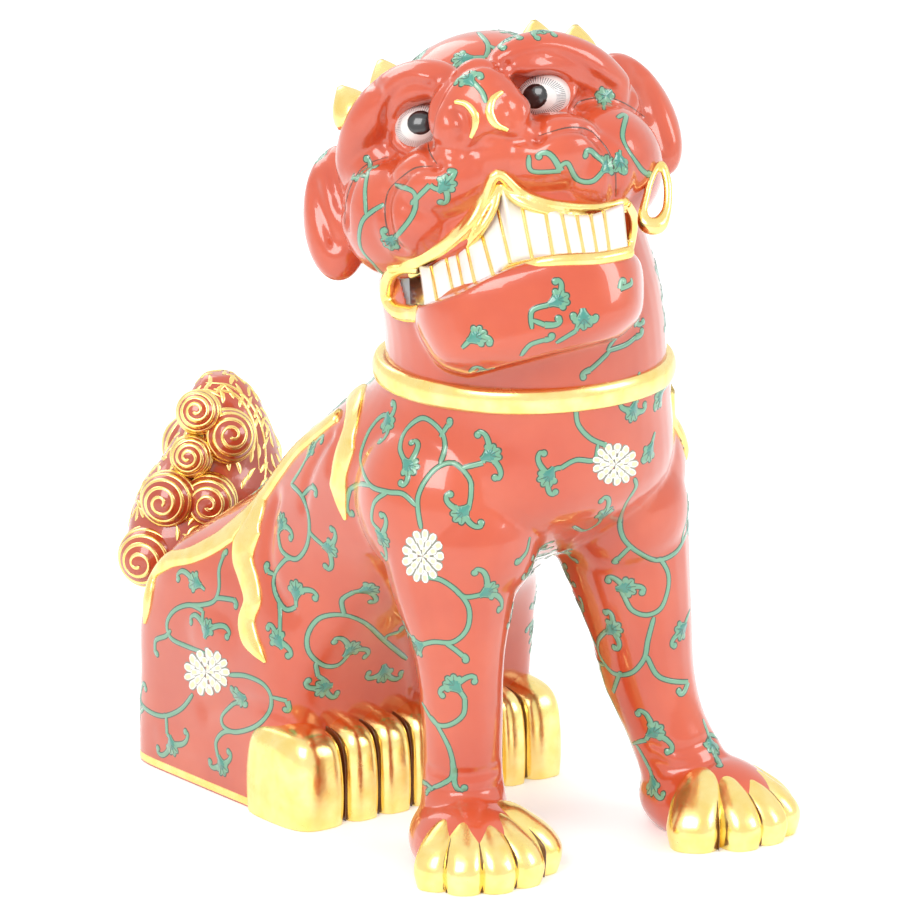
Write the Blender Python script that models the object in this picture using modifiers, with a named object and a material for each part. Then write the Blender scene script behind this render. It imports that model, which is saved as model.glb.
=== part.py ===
"""Porcelain komainu, a seated guardian lion-dog, as the hollow pieces that are luted together.

Written in millimetres and turned into metres by MM. The animal looks along -Y, its left is +X.
"""

import math

import bmesh
import bpy
from mathutils import Euler, Matrix, Vector
from mathutils.bvhtree import BVHTree

MM = 0.001

# Driving dimensions, in millimetres and degrees.
WALL = 6.0              # porcelain wall of the hollow body and head
GAP = 0.3               # slip joint between two pieces
NECK_SEAM = 143.0       # height where head and body are joined, under the neck band
FOOT_CUT = 0.0          # the plane that the figure stands on

NECK_BAND_WIDTH = 6.4
NECK_BAND_RISE = 2.2
LOCK_WIDTH = 6.4
LOCK_RISE = 2.2

LIP_RADIUS = 3.3
TOOTH_DEPTH = 5.0
TOOTH_SET_BACK = 1.6    # front of the teeth behind the front of the face
RING_ROD = 2.0
EYE_SIZE = (8.6, 10.0, 7.4)
EYE_SPREAD = 18.0
TUFT_RADIUS = 6.6
TUFT_HEIGHT = 10.0
EAR_SIZE = (10.5, 9.5, 20.5)

HIP_MIDDLE = -4.0       # the hips' middle is set to the right of the chest's
HIND_TOE_HEIGHT = 30.0
HIND_TOE_LENGTH = 34.0
HIND_TOE_FRONT = -13.0   # how far forward the hind toes reach
HIND_TOE_EDGES = (0.4, 13.2, 25.5, 37.5)    # seams between the toes, from the middle outwards
HIND_TOE_WIDTHS = (16.4, 16.4, 16.4, 24.0)
LEFT_FOOT_SHARE = 0.8    # the left hind foot is this much as wide as the right one
FRONT_TOE_SIZE = (5.8, 12.5, 9.5)
BIG_TOE_SIZE = (8.6, 13.5, 10.5)
TOE_REACH = 15.0        # from a paw's middle to the middle of its toes
TOE_FAN = (-72, -34, -8, 17, 42)            # the toes' directions, the biggest one first
PAW_SPLAY = 22.0

# The head's own frame: its middle in the world, its turn to the side, and how it is held.
HEAD_CENTRE = (-4.0, -43.0, 193.5)
HEAD_TURN = -37.0
HEAD_LIFT = -15.5
HEAD_TILT = -14.0
FACE_LIFT = -15.0

# Torso sections from the base to the neck: x, y, z, half width, half depth, tilt, squareness.
TORSO = [
    (HIP_MIDDLE, 42, -8, 49, 42, 0, 9.0),
    (HIP_MIDDLE, 42, 10, 49, 42, 0, 9.0),
    (HIP_MIDDLE, 41.5, 28, 49, 42, 0, 8.5),
    (HIP_MIDDLE, 40, 46, 49.5, 43.5, 4, 7.0),
    (-3.5, 33, 62, 48, 43, 8, 5.0),
    (-3, 22, 73, 46, 42, 10, 3.2),
    (-1, 5, 86, 46, 44, 9, 2.5),
    (0, -14, 99.5, 47, 49.5, 11, 2.4),
    (1, -35, 117, 48, 49.5, 10, 2.3),
    (2, -45, NECK_SEAM - 7, 44, 42.5, 5, 2.1),
    (2, -46, NECK_SEAM + 9, 42.5, 41.5, 1, 2.0),
]
NECK = [
    (2, -46, NECK_SEAM - 11, 44, 43, 0, 2.0),
    (2, -46, NECK_SEAM + 9, 42.5, 41.5, 0, 2.0),
    (0, -45, 170, 42, 40, 0, 2.0),
    (-2, -44, 190, 38, 36, 0, 2.0),
]
HEAD_HOLLOW = [
    (2, -46, NECK_SEAM - 11, 36.5, 35.5, 0, 2.0),
    (1, -45, NECK_SEAM + 9, 35, 33, 0, 2.0),
    (0, -42, 172, 30, 28, 0, 2.0),
    (1, -39, 196, 27, 26, 0, 2.0),
    (2, -37, 214, 18, 18, 0, 2.0),
]

# Swellings of the body: middle, half sizes. Each is on the animal's right, and is mirrored: the haunch and the
# hind foot about the middle of the hips, the others about x = 0.
HAUNCH = ((-33, 38, 48), (21.5, 40, 21))
METATARSUS = [(-39.5, 67, 11, 14), (-39.5, 40, 12, 14), (-39, 10, 13, 13.5)]
CHEST = [((-30, -47, 108), (24, 27, 27)), ((-28, -58, 98), (21, 20, 22))]

# Legs from shoulder to ankle: x, y, z, radius.
RIGHT_LEG = [
    (-30, -50, 108, 22),
    (-32, -56, 85, 19),
    (-33, -60, 63, 13.5),
    (-32, -60, 44, 12.2),
    (-31, -59, 27, 12.0),
    (-32, -61, 14, 13.5),
]
LEFT_LEG = [
    (29, -50, 108, 23),
    (32, -55, 85, 20),
    (35, -59, 63, 16),
    (37, -61, 46, 14),
    (40, -66, 30, 12),
    (44, -71, 15, 13.5),
]
RIGHT_PAW = (-33, -61)
LEFT_PAW = (44, -73)
PAW_SIZE = (17, 22, 13.5)
PAW_HEIGHT = 9
PAW_AHEAD = 6            # how far a paw's middle lies before the leg

# The head, in its own frame: middle, half sizes.
SKULL = [
    ((0, 10, 7), (43, 42, 41)),
    ((0, -10, 25), (28, 26, 23)),
    ((0, -33, 14), (13, 16, 14)),
    ((0, -12, -14), (34, 26, 18)),
]
FACE_SIDES = [
    ((-30, -4, 14), (16, 21, 20)),
    ((-31, -12, -1), (17, 23, 18)),
    ((-15, -33, 0), (17, 15, 12)),
    ((-26, -25, -6), (14, 15, 13)),
    ((-19, -20, 20), (12, 11, 11)),
]
JAW = [
    (0, -17, -54, 23, 17, 14, 2.6),
    (0, -16, -49, 30, 24, 12, 2.8),
    (0, -15, -41, 33, 28, 8, 2.8),
    (0, -14, -34, 34, 31, 2, 2.6),
    (0, -12, -30, 32, 27, 0, 2.4),
]
BROW = [(-4.5, -38, 24, 3), (-8, -38, 27, 5.5), (-14, -37, 29.5, 6.5), (-23, -32, 30, 6.8), (-33, -24, 25.5, 6.8),
        (-40, -13, 18.5, 5.5), (-42.5, -6, 13, 1.5)]
EYE = (-26, 18.7)       # how far forward and how high
NOSE = [((-1, -44, 19.5), (9.5, 9.5, 10.5)), ((6, -44, 11), (8, 8.5, 8)), ((-9, -44, 12), (8, 8.5, 8.5))]
UPPER_LIP = [(-33, -22), (-28, -20.5), (-20, -20.5), (-12, -18), (-6, -12), (0, -5.5)]
LOWER_LIP = [(-32, -33), (-28, -34.5), (-20, -35), (-12, -34.5), (-6, -34), (0, -33)]
# Mouth-corner rings: middle, lean, half width and half height of the rod's middle line.
RINGS = {
    "right": ((-36, -24, -26), (0, 10, -20), (4.6, 6.8)),
    "left": ((42.5, -21, -17.5), (0, 12, 20), (4.4, 8.6)),
}
EARS = {"right": ((-48, 6, 10), (8, 12, 14)), "left": ((44.5, 6, 17), (8, -12, -12))}
TUFTS = {
    "right_inner": ((-24, -25, 33), (8, -8)),
    "right_outer": ((-36, -20, 30), (8, -16)),
    "left_inner": ((20, -26, 33), (8, 6)),
    "left_outer": ((30.5, -22, 30), (8, 12)),
}

# Gold locks of the mane, as points near the surface. The first two hang from the neck band.
RIGHT_SHOULDER_LOCK = [(-36, -14, NECK_SEAM - 4), (-41, -20, NECK_SEAM - 12), (-45, -20, 122), (-47, -18, 113),
                       (-47, -20, 106), (-47, -23, 96)]
LEFT_SHOULDER_LOCK = [(33, -68, NECK_SEAM - 4), (39, -65, NECK_SEAM - 12), (43, -62, 122), (45, -59, 110)]
SPINE_LOCK = [(-38, -14, NECK_SEAM - 11), (-38, -4, NECK_SEAM - 18), (-38, 4, 119), (-40, 14, 108),
              (-41, 22, 99), (-44, 31, 88), (-46, 39, 82), (-49, 50, 75), (-49, 64, 69), (-49, 73, 61),
              (-50, 75, 51), (-50, 75, 43)]
FLANK_LOCK = [(-44, 29, 86), (-46, 28, 82), (-48, 27, 75), (-50, 23, 67), (-51, 20, 60), (-52, 20, 54),
              (-52, 14, 49), (-52, 10, 46)]

# The tail: a flame with curls on it.
TAIL = [
    (-1, 88, 26, 9, 9, 0, 2.0),
    (-4, 98, 38, 21, 14, 0, 2.2),
    (-7, 105, 55, 26.5, 17, 0, 2.2),
    (-2.5, 108, 72, 24.5, 17, 0, 2.2),
    (2, 109, 82, 19, 15, 0, 2.1),
    (3.5, 109, 92, 13.5, 13, 0, 2.0),
    (3, 110, 101, 10.5, 9, 0, 2.0),
    (2.5, 111, 107, 4.5, 4.5, 0, 2.0),
]
TAIL_ROOT = [(0, 74, 26, 9), (-1, 88, 29, 10), (-3, 98, 40, 11)]
CURLS = [
    ((-12, 101, 99), 8.0),
    ((-2, 96, 91), 9.5),
    ((-16, 99, 86), 7.5),
    ((-23, 101, 73), 9.5),
    ((-9, 95, 72), 10.0),
    ((-29, 104, 55), 10.0),
    ((13, 110, 79), 10.0),
    ((13, 110, 57), 10.0),
    ((0, 121, 82), 11.0),
    ((-4, 120, 57), 11.0),
]


def remove_everything():
    for obj in list(bpy.data.objects):
        bpy.data.objects.remove(obj)


def new_collection(name):
    collection = bpy.data.collections.new(name)
    bpy.context.scene.collection.children.link(collection)
    return collection


def material(name, colour, roughness, metallic=0.0):
    mat = bpy.data.materials.new(name)
    mat.use_nodes = True
    shader = mat.node_tree.nodes["Principled BSDF"]
    shader.inputs["Base Color"].default_value = (*colour, 1.0)
    shader.inputs["Roughness"].default_value = roughness
    shader.inputs["Metallic"].default_value = metallic
    return mat


def head_frame():
    return (
        Matrix.Translation(Vector(HEAD_CENTRE) * MM)
        @ Matrix.Rotation(math.radians(HEAD_TURN), 4, "Z")
        @ Matrix.Rotation(math.radians(HEAD_LIFT), 4, "X")
        @ Matrix.Rotation(math.radians(HEAD_TILT), 4, "Y")
        @ Matrix.Rotation(math.radians(FACE_LIFT), 4, "X")
    )


def mirrored(point, middle=0.0):
    return (2 * middle - point[0], *point[1:])


def both_ways(half):
    """A line from the right side to the middle, carried on to the left side."""
    return half + [mirrored(p) for p in reversed(half[:-1])]


def smooth_rows(rows, steps):
    """More rows of numbers, on a smooth curve through the given ones."""
    out = []
    last = len(rows) - 1
    for i in range(last):
        before, here, there, after = rows[max(i - 1, 0)], rows[i], rows[i + 1], rows[min(i + 2, last)]
        for step in range(steps):
            t = step / steps
            out.append([
                0.5 * (2 * b + (c - a) * t + (2 * a - 5 * b + 4 * c - d) * t**2 + (3 * b - a - 3 * c + d) * t**3)
                for a, b, c, d in zip(before, here, there, after)
            ])
    out.append(list(rows[-1]))
    return out


def skin(bm, rings):
    """Quads between rings of points, with a face over each end."""
    loops = [[bm.verts.new(point) for point in ring] for ring in rings]
    count = len(rings[0])
    faces = [
        bm.faces.new((a[k], a[(k + 1) % count], b[(k + 1) % count], b[k]))
        for a, b in zip(loops, loops[1:])
        for k in range(count)
    ]
    faces.append(bm.faces.new(list(reversed(loops[0]))))
    faces.append(bm.faces.new(loops[-1]))
    bmesh.ops.recalc_face_normals(bm, faces=faces)
    bmesh.ops.triangulate(bm, faces=faces, quad_method="FIXED")


def add_loft(bm, sections, sides=28, steps=3, shrink=0.0, frame=None):
    rings = []
    for x, y, z, half_x, half_y, tilt, square in smooth_rows(sections, steps):
        lean = Matrix.Rotation(math.radians(tilt), 3, "X")
        ring = []
        for k in range(sides):
            angle = 2 * math.pi * k / sides
            c, s = math.cos(angle), math.sin(angle)
            px = (half_x - shrink) * math.copysign(abs(c) ** (2 / square), c)
            py = (half_y - shrink) * math.copysign(abs(s) ** (2 / square), s)
            point = (Vector((x, y, z)) + lean @ Vector((px, py, 0))) * MM
            ring.append(frame @ point if frame else point)
        rings.append(ring)
    skin(bm, rings)


def add_oval(bm, centre, half_sizes, turn=(0, 0, 0), frame=None, segments=24):
    spin = Euler([math.radians(t) for t in turn]).to_matrix().to_4x4()
    size = Matrix.Diagonal((*(s * MM for s in half_sizes), 1.0))
    place = Matrix.Translation(Vector(centre) * MM) @ spin @ size
    if frame:
        place = frame @ place
    bmesh.ops.create_uvsphere(bm, u_segments=segments, v_segments=segments // 2 + 1, radius=1, matrix=place)


def add_rod(bm, points, sides=16, steps=4, frame=None, round_ends=False):
    """A round rod through points of x, y, z, radius."""
    rows = smooth_rows(points, steps)
    centres = [Vector(row[:3]) for row in rows]
    rings = []
    side = Vector((0, 0, 1))
    for i, (centre, row) in enumerate(zip(centres, rows)):
        along = (centres[min(i + 1, len(rows) - 1)] - centres[max(i - 1, 0)]).normalized()
        side = side - along * side.dot(along)
        if side.length < 0.05:
            side = along.orthogonal()
        side.normalize()
        other = along.cross(side)
        ring = []
        for k in range(sides):
            angle = 2 * math.pi * k / sides
            point = (centre + (side * math.cos(angle) + other * math.sin(angle)) * row[3]) * MM
            ring.append(frame @ point if frame else point)
        rings.append(ring)
    skin(bm, rings)
    if round_ends:
        for row in (rows[0], rows[-1]):
            add_oval(bm, row[:3], (row[3] * 0.98,) * 3, frame=frame, segments=sides)


def object_from(bm, name, collection):
    mesh = bpy.data.meshes.new(name)
    bm.to_mesh(mesh)
    bm.free()
    obj = bpy.data.objects.new(name, mesh)
    collection.objects.link(obj)
    return obj


def settle(obj):
    """Gives the object the mesh that its modifiers make, and drops the modifiers."""
    bpy.context.view_layer.update()
    graph = bpy.context.evaluated_depsgraph_get()
    mesh = bpy.data.meshes.new_from_object(obj.evaluated_get(graph))
    obj.modifiers.clear()
    obj.data = mesh
    return obj


def grown(points, grow):
    """Points of x, y, z, radius with a bigger radius."""
    return [(*p[:3], p[3] + grow) for p in points]


def melt(obj, voxel, softness, triangles):
    """Runs overlapping forms into one clay-like skin with about this many triangles."""
    fuse = obj.modifiers.new("fuse", "REMESH")
    fuse.mode = "VOXEL"
    fuse.voxel_size = voxel * MM
    soften = obj.modifiers.new("soften", "SMOOTH")
    soften.iterations = softness
    settle(obj)
    thin = obj.modifiers.new("thin", "DECIMATE")
    thin.ratio = min(1.0, triangles / (2 * len(obj.data.polygons)))
    return settle(obj)


def cut_flat(obj, point, away):
    """A flat cut through a point in metres, closed with one face. What lies on the side of away goes."""
    bm = bmesh.new()
    bm.from_mesh(obj.data)
    bmesh.ops.bisect_plane(
        bm,
        geom=bm.verts[:] + bm.edges[:] + bm.faces[:],
        dist=1e-6,
        plane_co=point,
        plane_no=away,
        clear_outer=True,
    )
    bmesh.ops.holes_fill(bm, edges=[e for e in bm.edges if e.is_boundary], sides=0)
    bmesh.ops.recalc_face_normals(bm, faces=bm.faces[:])
    bm.to_mesh(obj.data)
    bm.free()
    return obj


def cut_level(obj, height, keep_above):
    return cut_flat(obj, (0, 0, height * MM), (0, 0, -1) if keep_above else (0, 0, 1))


def heading_vector(angle):
    """A level direction, turned from straight ahead towards the animal's left."""
    return Matrix.Rotation(math.radians(angle), 3, "Z") @ Vector((0, -1, 0))


def swollen(obj, cutters, by=GAP):
    """A copy of a piece that is bigger all round by the width of a slip joint."""
    copy = obj.copy()
    copy.data = obj.data.copy()
    copy.name = f"{obj.name}_clearance"
    cutters.objects.link(copy)
    copy.hide_render = True
    copy.display_type = "WIRE"
    grow = copy.modifiers.new("grow", "DISPLACE")
    grow.strength = by * MM
    grow.mid_level = 0.0
    return settle(copy)


def carve(obj, *tools):
    for tool in tools:
        cut = obj.modifiers.new("cut", "BOOLEAN")
        cut.object = tool
        cut.operation = "DIFFERENCE"
        cut.use_self = True
    settle(obj)
    keep_largest(obj)
    return obj


def keep_largest(obj):
    """Drops the crumbs that a cut can leave beside a piece."""
    bm = bmesh.new()
    bm.from_mesh(obj.data)
    left = set(bm.verts)
    islands = []
    while left:
        island, reach = set(), [next(iter(left))]
        while reach:
            vert = reach.pop()
            if vert in island:
                continue
            island.add(vert)
            reach += [e.other_vert(vert) for e in vert.link_edges]
        left -= island
        islands.append(island)
    islands.sort(key=len)
    for island in islands[:-1]:
        bmesh.ops.delete(bm, geom=list(island), context="VERTS")
    bm.to_mesh(obj.data)
    bm.free()


def surface_of(obj):
    return BVHTree.FromObject(obj, bpy.context.evaluated_depsgraph_get())


class Komainu:
    def __init__(self):
        remove_everything()
        self.parts = new_collection("komainu")
        self.cutters = new_collection("cutters")
        self.head = head_frame()
        self.red = material("red_glaze", (0.60, 0.055, 0.02), 0.08)
        self.gold = material("gold", (0.90, 0.62, 0.16), 0.2, 1.0)
        self.white = material("white_glaze", (0.85, 0.84, 0.80), 0.08)
        self.brown = material("tail_glaze", (0.36, 0.06, 0.02), 0.12)

    def finish(self, obj, mat):
        obj.data.materials.clear()
        obj.data.materials.append(mat)
        obj.data.shade_smooth()
        obj.data.set_sharp_from_angle(angle=math.radians(50))
        return obj

    def build(self):
        body = self.body()
        head = self.head_skin()
        self.body_space = swollen(body, self.cutters)
        self.head_space = swollen(head, self.cutters)
        self.body_tree = surface_of(body)
        jaw = self.jaw()
        self.face_trees = [surface_of(head), surface_of(jaw)]
        self.teeth_space = self.piece("tooth_row", self.white, self.add_teeth)
        carve(jaw, self.teeth_space)
        self.face()
        self.legs()
        self.hind_toes()
        self.neck_band(self.mane())
        self.tail()
        self.hollow(body, TORSO, NECK_SEAM - GAP / 2, keep_above=False)
        self.hollow(head, HEAD_HOLLOW, NECK_SEAM + GAP / 2, keep_above=True, shrink=0.0)
        carve(head, self.teeth_space)
        self.finish(body, self.red)
        self.finish(head, self.red)
        self.stand_on_origin()

    def stand_on_origin(self):
        """Moves everything so that the origin is the middle of the box round it, at the bottom."""
        corners = [v.co for obj in self.parts.objects for v in obj.data.vertices]
        low, high = (Vector([pick(c[i] for c in corners) for i in range(3)]) for pick in (min, max))
        middle = (low + high) / 2
        for obj in self.parts.objects:
            obj.data.transform(Matrix.Translation((-middle.x, -middle.y, -low.z)))

    def hollow(self, obj, sections, seam, keep_above, shrink=WALL):
        cut_level(obj, seam, keep_above)
        bm = bmesh.new()
        add_loft(bm, sections, sides=20, steps=2, shrink=shrink)
        cavity = object_from(bm, f"{obj.name}_cavity", self.cutters)
        cavity.hide_render = True
        cavity.display_type = "WIRE"
        carve(obj, cavity)

    def body(self):
        bm = bmesh.new()
        add_loft(bm, TORSO)
        for middle, (centre, size) in ((HIP_MIDDLE, HAUNCH), (0.0, CHEST[0]), (0.0, CHEST[1])):
            add_oval(bm, centre, size)
            add_oval(bm, mirrored(centre, middle), size)
        add_rod(bm, METATARSUS, round_ends=True)
        add_rod(bm, [mirrored(p, HIP_MIDDLE) for p in METATARSUS], round_ends=True)
        body = melt(object_from(bm, "body_shell", self.parts), 2.0, 4, 1400)
        return cut_level(body, FOOT_CUT, keep_above=True)

    def head_skin(self):
        bm = bmesh.new()
        add_loft(bm, NECK)
        for centre, size in SKULL:
            add_oval(bm, centre, size, frame=self.head)
        for centre, size in FACE_SIDES:
            add_oval(bm, centre, size, frame=self.head)
            add_oval(bm, mirrored(centre), size, frame=self.head)
        return melt(object_from(bm, "head_shell", self.parts), 2.0, 4, 1400)

    def jaw(self):
        bm = bmesh.new()
        add_loft(bm, JAW, frame=self.head)
        jaw = melt(object_from(bm, "lower_jaw", self.parts), 1.8, 4, 340)
        self.jaw_space = swollen(jaw, self.cutters)
        carve(jaw, self.head_space)
        return self.finish(jaw, self.red)

    def face_front(self, x, z):
        """How far forward the face lies at a place seen from the front, in the head's frame."""
        far = self.head @ (Vector((x, -90, z)) * MM)
        towards = self.head.to_3x3() @ Vector((0, 1, 0))
        hits = [tree.ray_cast(far, towards) for tree in self.face_trees]
        return min(hit[3] for hit in hits if hit[0]) / MM - 90

    def lip_line(self, half, steps, inset=0.8):
        """A lip's middle line, laid on the face from mouth corner to mouth corner."""
        return [(x, self.face_front(x, z) + inset, z) for x, z in smooth_rows(both_ways(half), steps)]

    def add_teeth(self, bm, grow):
        """The strip of teeth. Its edges follow the lips, and lie hidden behind them."""
        upper = self.lip_line(UPPER_LIP, 3)
        lower = self.lip_line(LOWER_LIP, 3)
        pairs = [(Vector(top), Vector(bottom)) for top, bottom in zip(upper, lower)][2:-2]
        rings = []
        for i, (top, bottom) in enumerate(pairs):
            before, after = pairs[max(i - 1, 0)], pairs[min(i + 1, len(pairs) - 1)]
            along = (sum(after, Vector()) - sum(before, Vector())) * Vector((1, 1, 0))
            along.normalize()
            inwards = Vector((-along.y, along.x, 0))
            end = along * 2 * grow * ((i == len(pairs) - 1) - (i == 0))
            low = Vector((top.x, bottom.y, bottom.z - grow)) + inwards * (TOOTH_SET_BACK - grow) + end
            high = top + Vector((0, 0, grow)) + inwards * (TOOTH_SET_BACK - grow) + end
            back = inwards * (TOOTH_DEPTH + 2 * grow)
            rings.append([self.head @ (p * MM) for p in (low, high, high + back, low + back)])
        skin(bm, rings)

    def piece(self, name, mat, add, *spaces):
        """A piece cut by what it sits on, and its own space for cutting what sits on it."""
        made = []
        for label, grow in ((name, 0.0), (f"{name}_space", GAP)):
            bm = bmesh.new()
            add(bm, grow)
            made.append(object_from(bm, label, self.parts if grow == 0.0 else self.cutters))
        solid, space = made
        space.hide_render = True
        space.display_type = "WIRE"
        if spaces:
            carve(solid, *spaces)
        self.finish(solid, mat)
        return space

    def oval(self, name, mat, centre, sizes, turn, frame, segments, *spaces):
        return self.piece(name, mat, lambda bm, grow: add_oval(bm, centre, [s + grow for s in sizes], turn, frame,
                                                               segments), *spaces)

    def rod(self, name, mat, points, sides, steps, frame, *spaces):
        return self.piece(name, mat, lambda bm, grow: add_rod(bm, grown(points, grow), sides, steps, frame), *spaces)

    def face(self):
        head = self.head
        spaces = [self.head_space]
        for turn, side in ((1, "right"), (-1, "left")):
            brow = [(x * turn, y, z, r) for x, y, z, r in BROW]
            spaces.append(self.rod(f"{side}_brow", self.red, brow, 8, 2, head, self.head_space))
        nose = self.nose(spaces)
        for turn, side in ((1, "right"), (-1, "left")):
            eye = (-EYE_SPREAD * turn, *EYE)
            self.oval(f"{side}_eye", self.white, eye, EYE_SIZE, (0, 0, 0), head, 12, *spaces, nose)
            centre, lean = EARS[side]
            self.oval(f"{side}_ear", self.red, centre, EAR_SIZE, lean, head, 12, *spaces)
        for place, (base, lean) in TUFTS.items():
            self.piece(f"{place}_brow_tuft", self.gold, lambda bm, grow: self.tuft(bm, base, lean, grow), *spaces)
        lips = []
        for name, line in (("upper_lip_band", UPPER_LIP), ("lower_lip_band", LOWER_LIP)):
            path = [(*p, LIP_RADIUS) for p in self.lip_line(line, 2)]
            lips.append(self.rod(name, self.gold, path, 6, 1, head, self.head_space, self.teeth_space,
                                 self.jaw_space))
        for side, (centre, lean, radii) in RINGS.items():
            self.piece(f"{side}_mouth_corner_ring", self.gold,
                       lambda bm, grow: self.ring(bm, centre, lean, radii, RING_ROD + grow),
                       self.head_space, self.teeth_space, self.jaw_space, *lips)

    def nose(self, spaces):
        bm = bmesh.new()
        for centre, size in NOSE:
            add_oval(bm, centre, size, frame=self.head)
        nose = melt(object_from(bm, "nose", self.parts), 1.5, 3, 260)
        space = swollen(nose, self.cutters)
        carve(nose, *spaces)
        self.finish(nose, self.red)
        return space

    def tuft(self, bm, base, lean, grow):
        spin = Euler([math.radians(t) for t in (*lean, 0)]).to_matrix().to_4x4()
        place = self.head @ Matrix.Translation(Vector(base) * MM) @ spin
        place = place @ Matrix.Translation((0, 0, TUFT_HEIGHT / 2 * MM))
        bmesh.ops.create_cone(bm, cap_ends=True, segments=12, radius1=(TUFT_RADIUS + grow) * MM, radius2=0.8 * MM,
                              depth=TUFT_HEIGHT * MM, matrix=place)

    def ring(self, bm, centre, lean, radii, rod):
        spin = Euler([math.radians(t) for t in lean]).to_matrix()
        count, sides = 16, 6
        loops = []
        for i in range(count):
            angle = 2 * math.pi * i / count
            out = spin @ Vector((math.cos(angle), 0, math.sin(angle)))
            axis = spin @ Vector((0, 1, 0))
            middle = Vector(centre) + spin @ Vector((math.cos(angle) * radii[0], 0, math.sin(angle) * radii[1]))
            loops.append([
                bm.verts.new(self.head @ ((middle + (out * math.cos(a) + axis * math.sin(a)) * rod) * MM))
                for a in (2 * math.pi * k / sides for k in range(sides))
            ])
        for i in range(count):
            for k in range(sides):
                a, b = loops[i], loops[(i + 1) % count]
                bm.faces.new((a[k], b[k], b[(k + 1) % sides], a[(k + 1) % sides]))
        bmesh.ops.recalc_face_normals(bm, faces=bm.faces[:])

    def legs(self):
        for side, path, paw, turn in (("right", RIGHT_LEG, RIGHT_PAW, -1), ("left", LEFT_LEG, LEFT_PAW, 1)):
            heading = PAW_SPLAY * turn
            bm = bmesh.new()
            add_rod(bm, path, round_ends=True)
            middle = Vector((*paw, PAW_HEIGHT)) + heading_vector(heading) * PAW_AHEAD
            add_oval(bm, middle, PAW_SIZE, (0, 0, heading))
            leg = melt(object_from(bm, f"{side}_front_leg", self.parts), 1.8, 4, 480)
            cut_level(leg, FOOT_CUT, keep_above=True)
            carve(leg, self.body_space)
            self.finish(leg, self.red)
            leg_space = swollen(leg, self.cutters)
            self.front_toes(side, middle, heading, turn, leg_space)

    def front_toes(self, side, middle, heading, turn, leg_space):
        """Gold toes in a fan round the front of a paw, the biggest on the inside."""
        seams = [TOE_FAN[0] - 90] + [(a + b) / 2 for a, b in zip(TOE_FAN, TOE_FAN[1:])] + [TOE_FAN[-1] + 90]
        for number, spread in enumerate(TOE_FAN, start=1):
            size = BIG_TOE_SIZE if number == 1 else FRONT_TOE_SIZE
            angle = heading + spread * turn
            centre = middle + heading_vector(angle) * TOE_REACH
            bm = bmesh.new()
            add_oval(bm, (centre.x, centre.y, size[2] * 0.78), size, (0, 0, angle), segments=10)
            toe = object_from(bm, f"{side}_front_toe_{number}", self.parts)
            cut_level(toe, FOOT_CUT, keep_above=True)
            for seam, way in ((seams[number - 1], -1), (seams[number], 1)):
                across = heading_vector(heading + (seam + 90 * way) * turn)
                cut_flat(toe, (middle - across * GAP / 2) * MM, across)
            carve(toe, leg_space)
            self.finish(toe, self.gold)

    def hind_toes(self):
        """Four upright gold toes on each hind foot, the biggest on the outside."""
        last_edge = HIND_TOE_EDGES[-1] + HIND_TOE_WIDTHS[-1] * 0.75
        for side, turn, share in (("right", -1, 1.0), ("left", 1, LEFT_FOOT_SHARE)):
            edges = [edge * share for edge in (*HIND_TOE_EDGES, last_edge)]
            for number, (inner, outer, wide) in enumerate(zip(edges, edges[1:], HIND_TOE_WIDTHS), start=1):
                wide *= share
                last = number == len(HIND_TOE_WIDTHS)
                length = HIND_TOE_LENGTH * (1.0 if last else 0.85)
                centre = ((inner + outer) / 2 * turn, HIND_TOE_FRONT + length / 2, HIND_TOE_HEIGHT * 0.44)
                bm = bmesh.new()
                add_oval(bm, centre, (wide / 2, length / 2, HIND_TOE_HEIGHT * 0.56), segments=10)
                toe = object_from(bm, f"{side}_hind_toe_{number}", self.parts)
                cut_level(toe, FOOT_CUT, keep_above=True)
                cut_flat(toe, Vector(((inner + GAP / 2) * turn, 0, 0)) * MM, (-turn, 0, 0))
                if not last:
                    cut_flat(toe, Vector(((outer - GAP / 2) * turn, 0, 0)) * MM, (turn, 0, 0))
                carve(toe, self.body_space)
                self.finish(toe, self.gold)

    def on_body(self, point):
        place, normal, _, _ = self.body_tree.find_nearest(Vector(point) * MM)
        return place, normal

    def add_lock(self, bm, points, grow):
        """A rounded band laid on the body, pointed at its lower end."""
        spots = [self.on_body(row) for row in smooth_rows(points, 2)]
        rings = []
        for i, (place, normal) in enumerate(spots):
            along = (spots[min(i + 1, len(spots) - 1)][0] - spots[max(i - 1, 0)][0]).normalized()
            side = along.cross(normal).normalized()
            share = i / (len(spots) - 1)
            wide = LOCK_WIDTH / 2 * min(1.0, 0.6 + share * 3) * min(1.0, 0.2 + (1 - share) * 4) + grow
            rise = LOCK_RISE * min(1.0, 0.5 + (1 - share) * 4) + grow
            section = [(-1, -2.5), (1, -2.5), (1, 0.2), (0.5, 0.85 * rise), (-0.5, 0.85 * rise), (-1, 0.2)]
            rings.append([place + (side * (w * wide) + normal * h) * MM for w, h in section])
        skin(bm, rings)

    def mane(self):
        spaces = []
        for side, shoulder in (("right", RIGHT_SHOULDER_LOCK), ("left", LEFT_SHOULDER_LOCK)):
            near = [self.body_space]
            spine, flank = SPINE_LOCK, FLANK_LOCK
            if side == "left":
                spine, flank = ([mirrored(p, HIP_MIDDLE / 2) for p in path] for path in (spine, flank))
            for name, path in (("shoulder", shoulder), ("spine", spine), ("flank", flank)):
                near.append(self.piece(f"{side}_{name}_lock", self.gold,
                                       lambda bm, grow: self.add_lock(bm, path, grow), *near))
            spaces += near[1:3]
        return spaces

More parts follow.
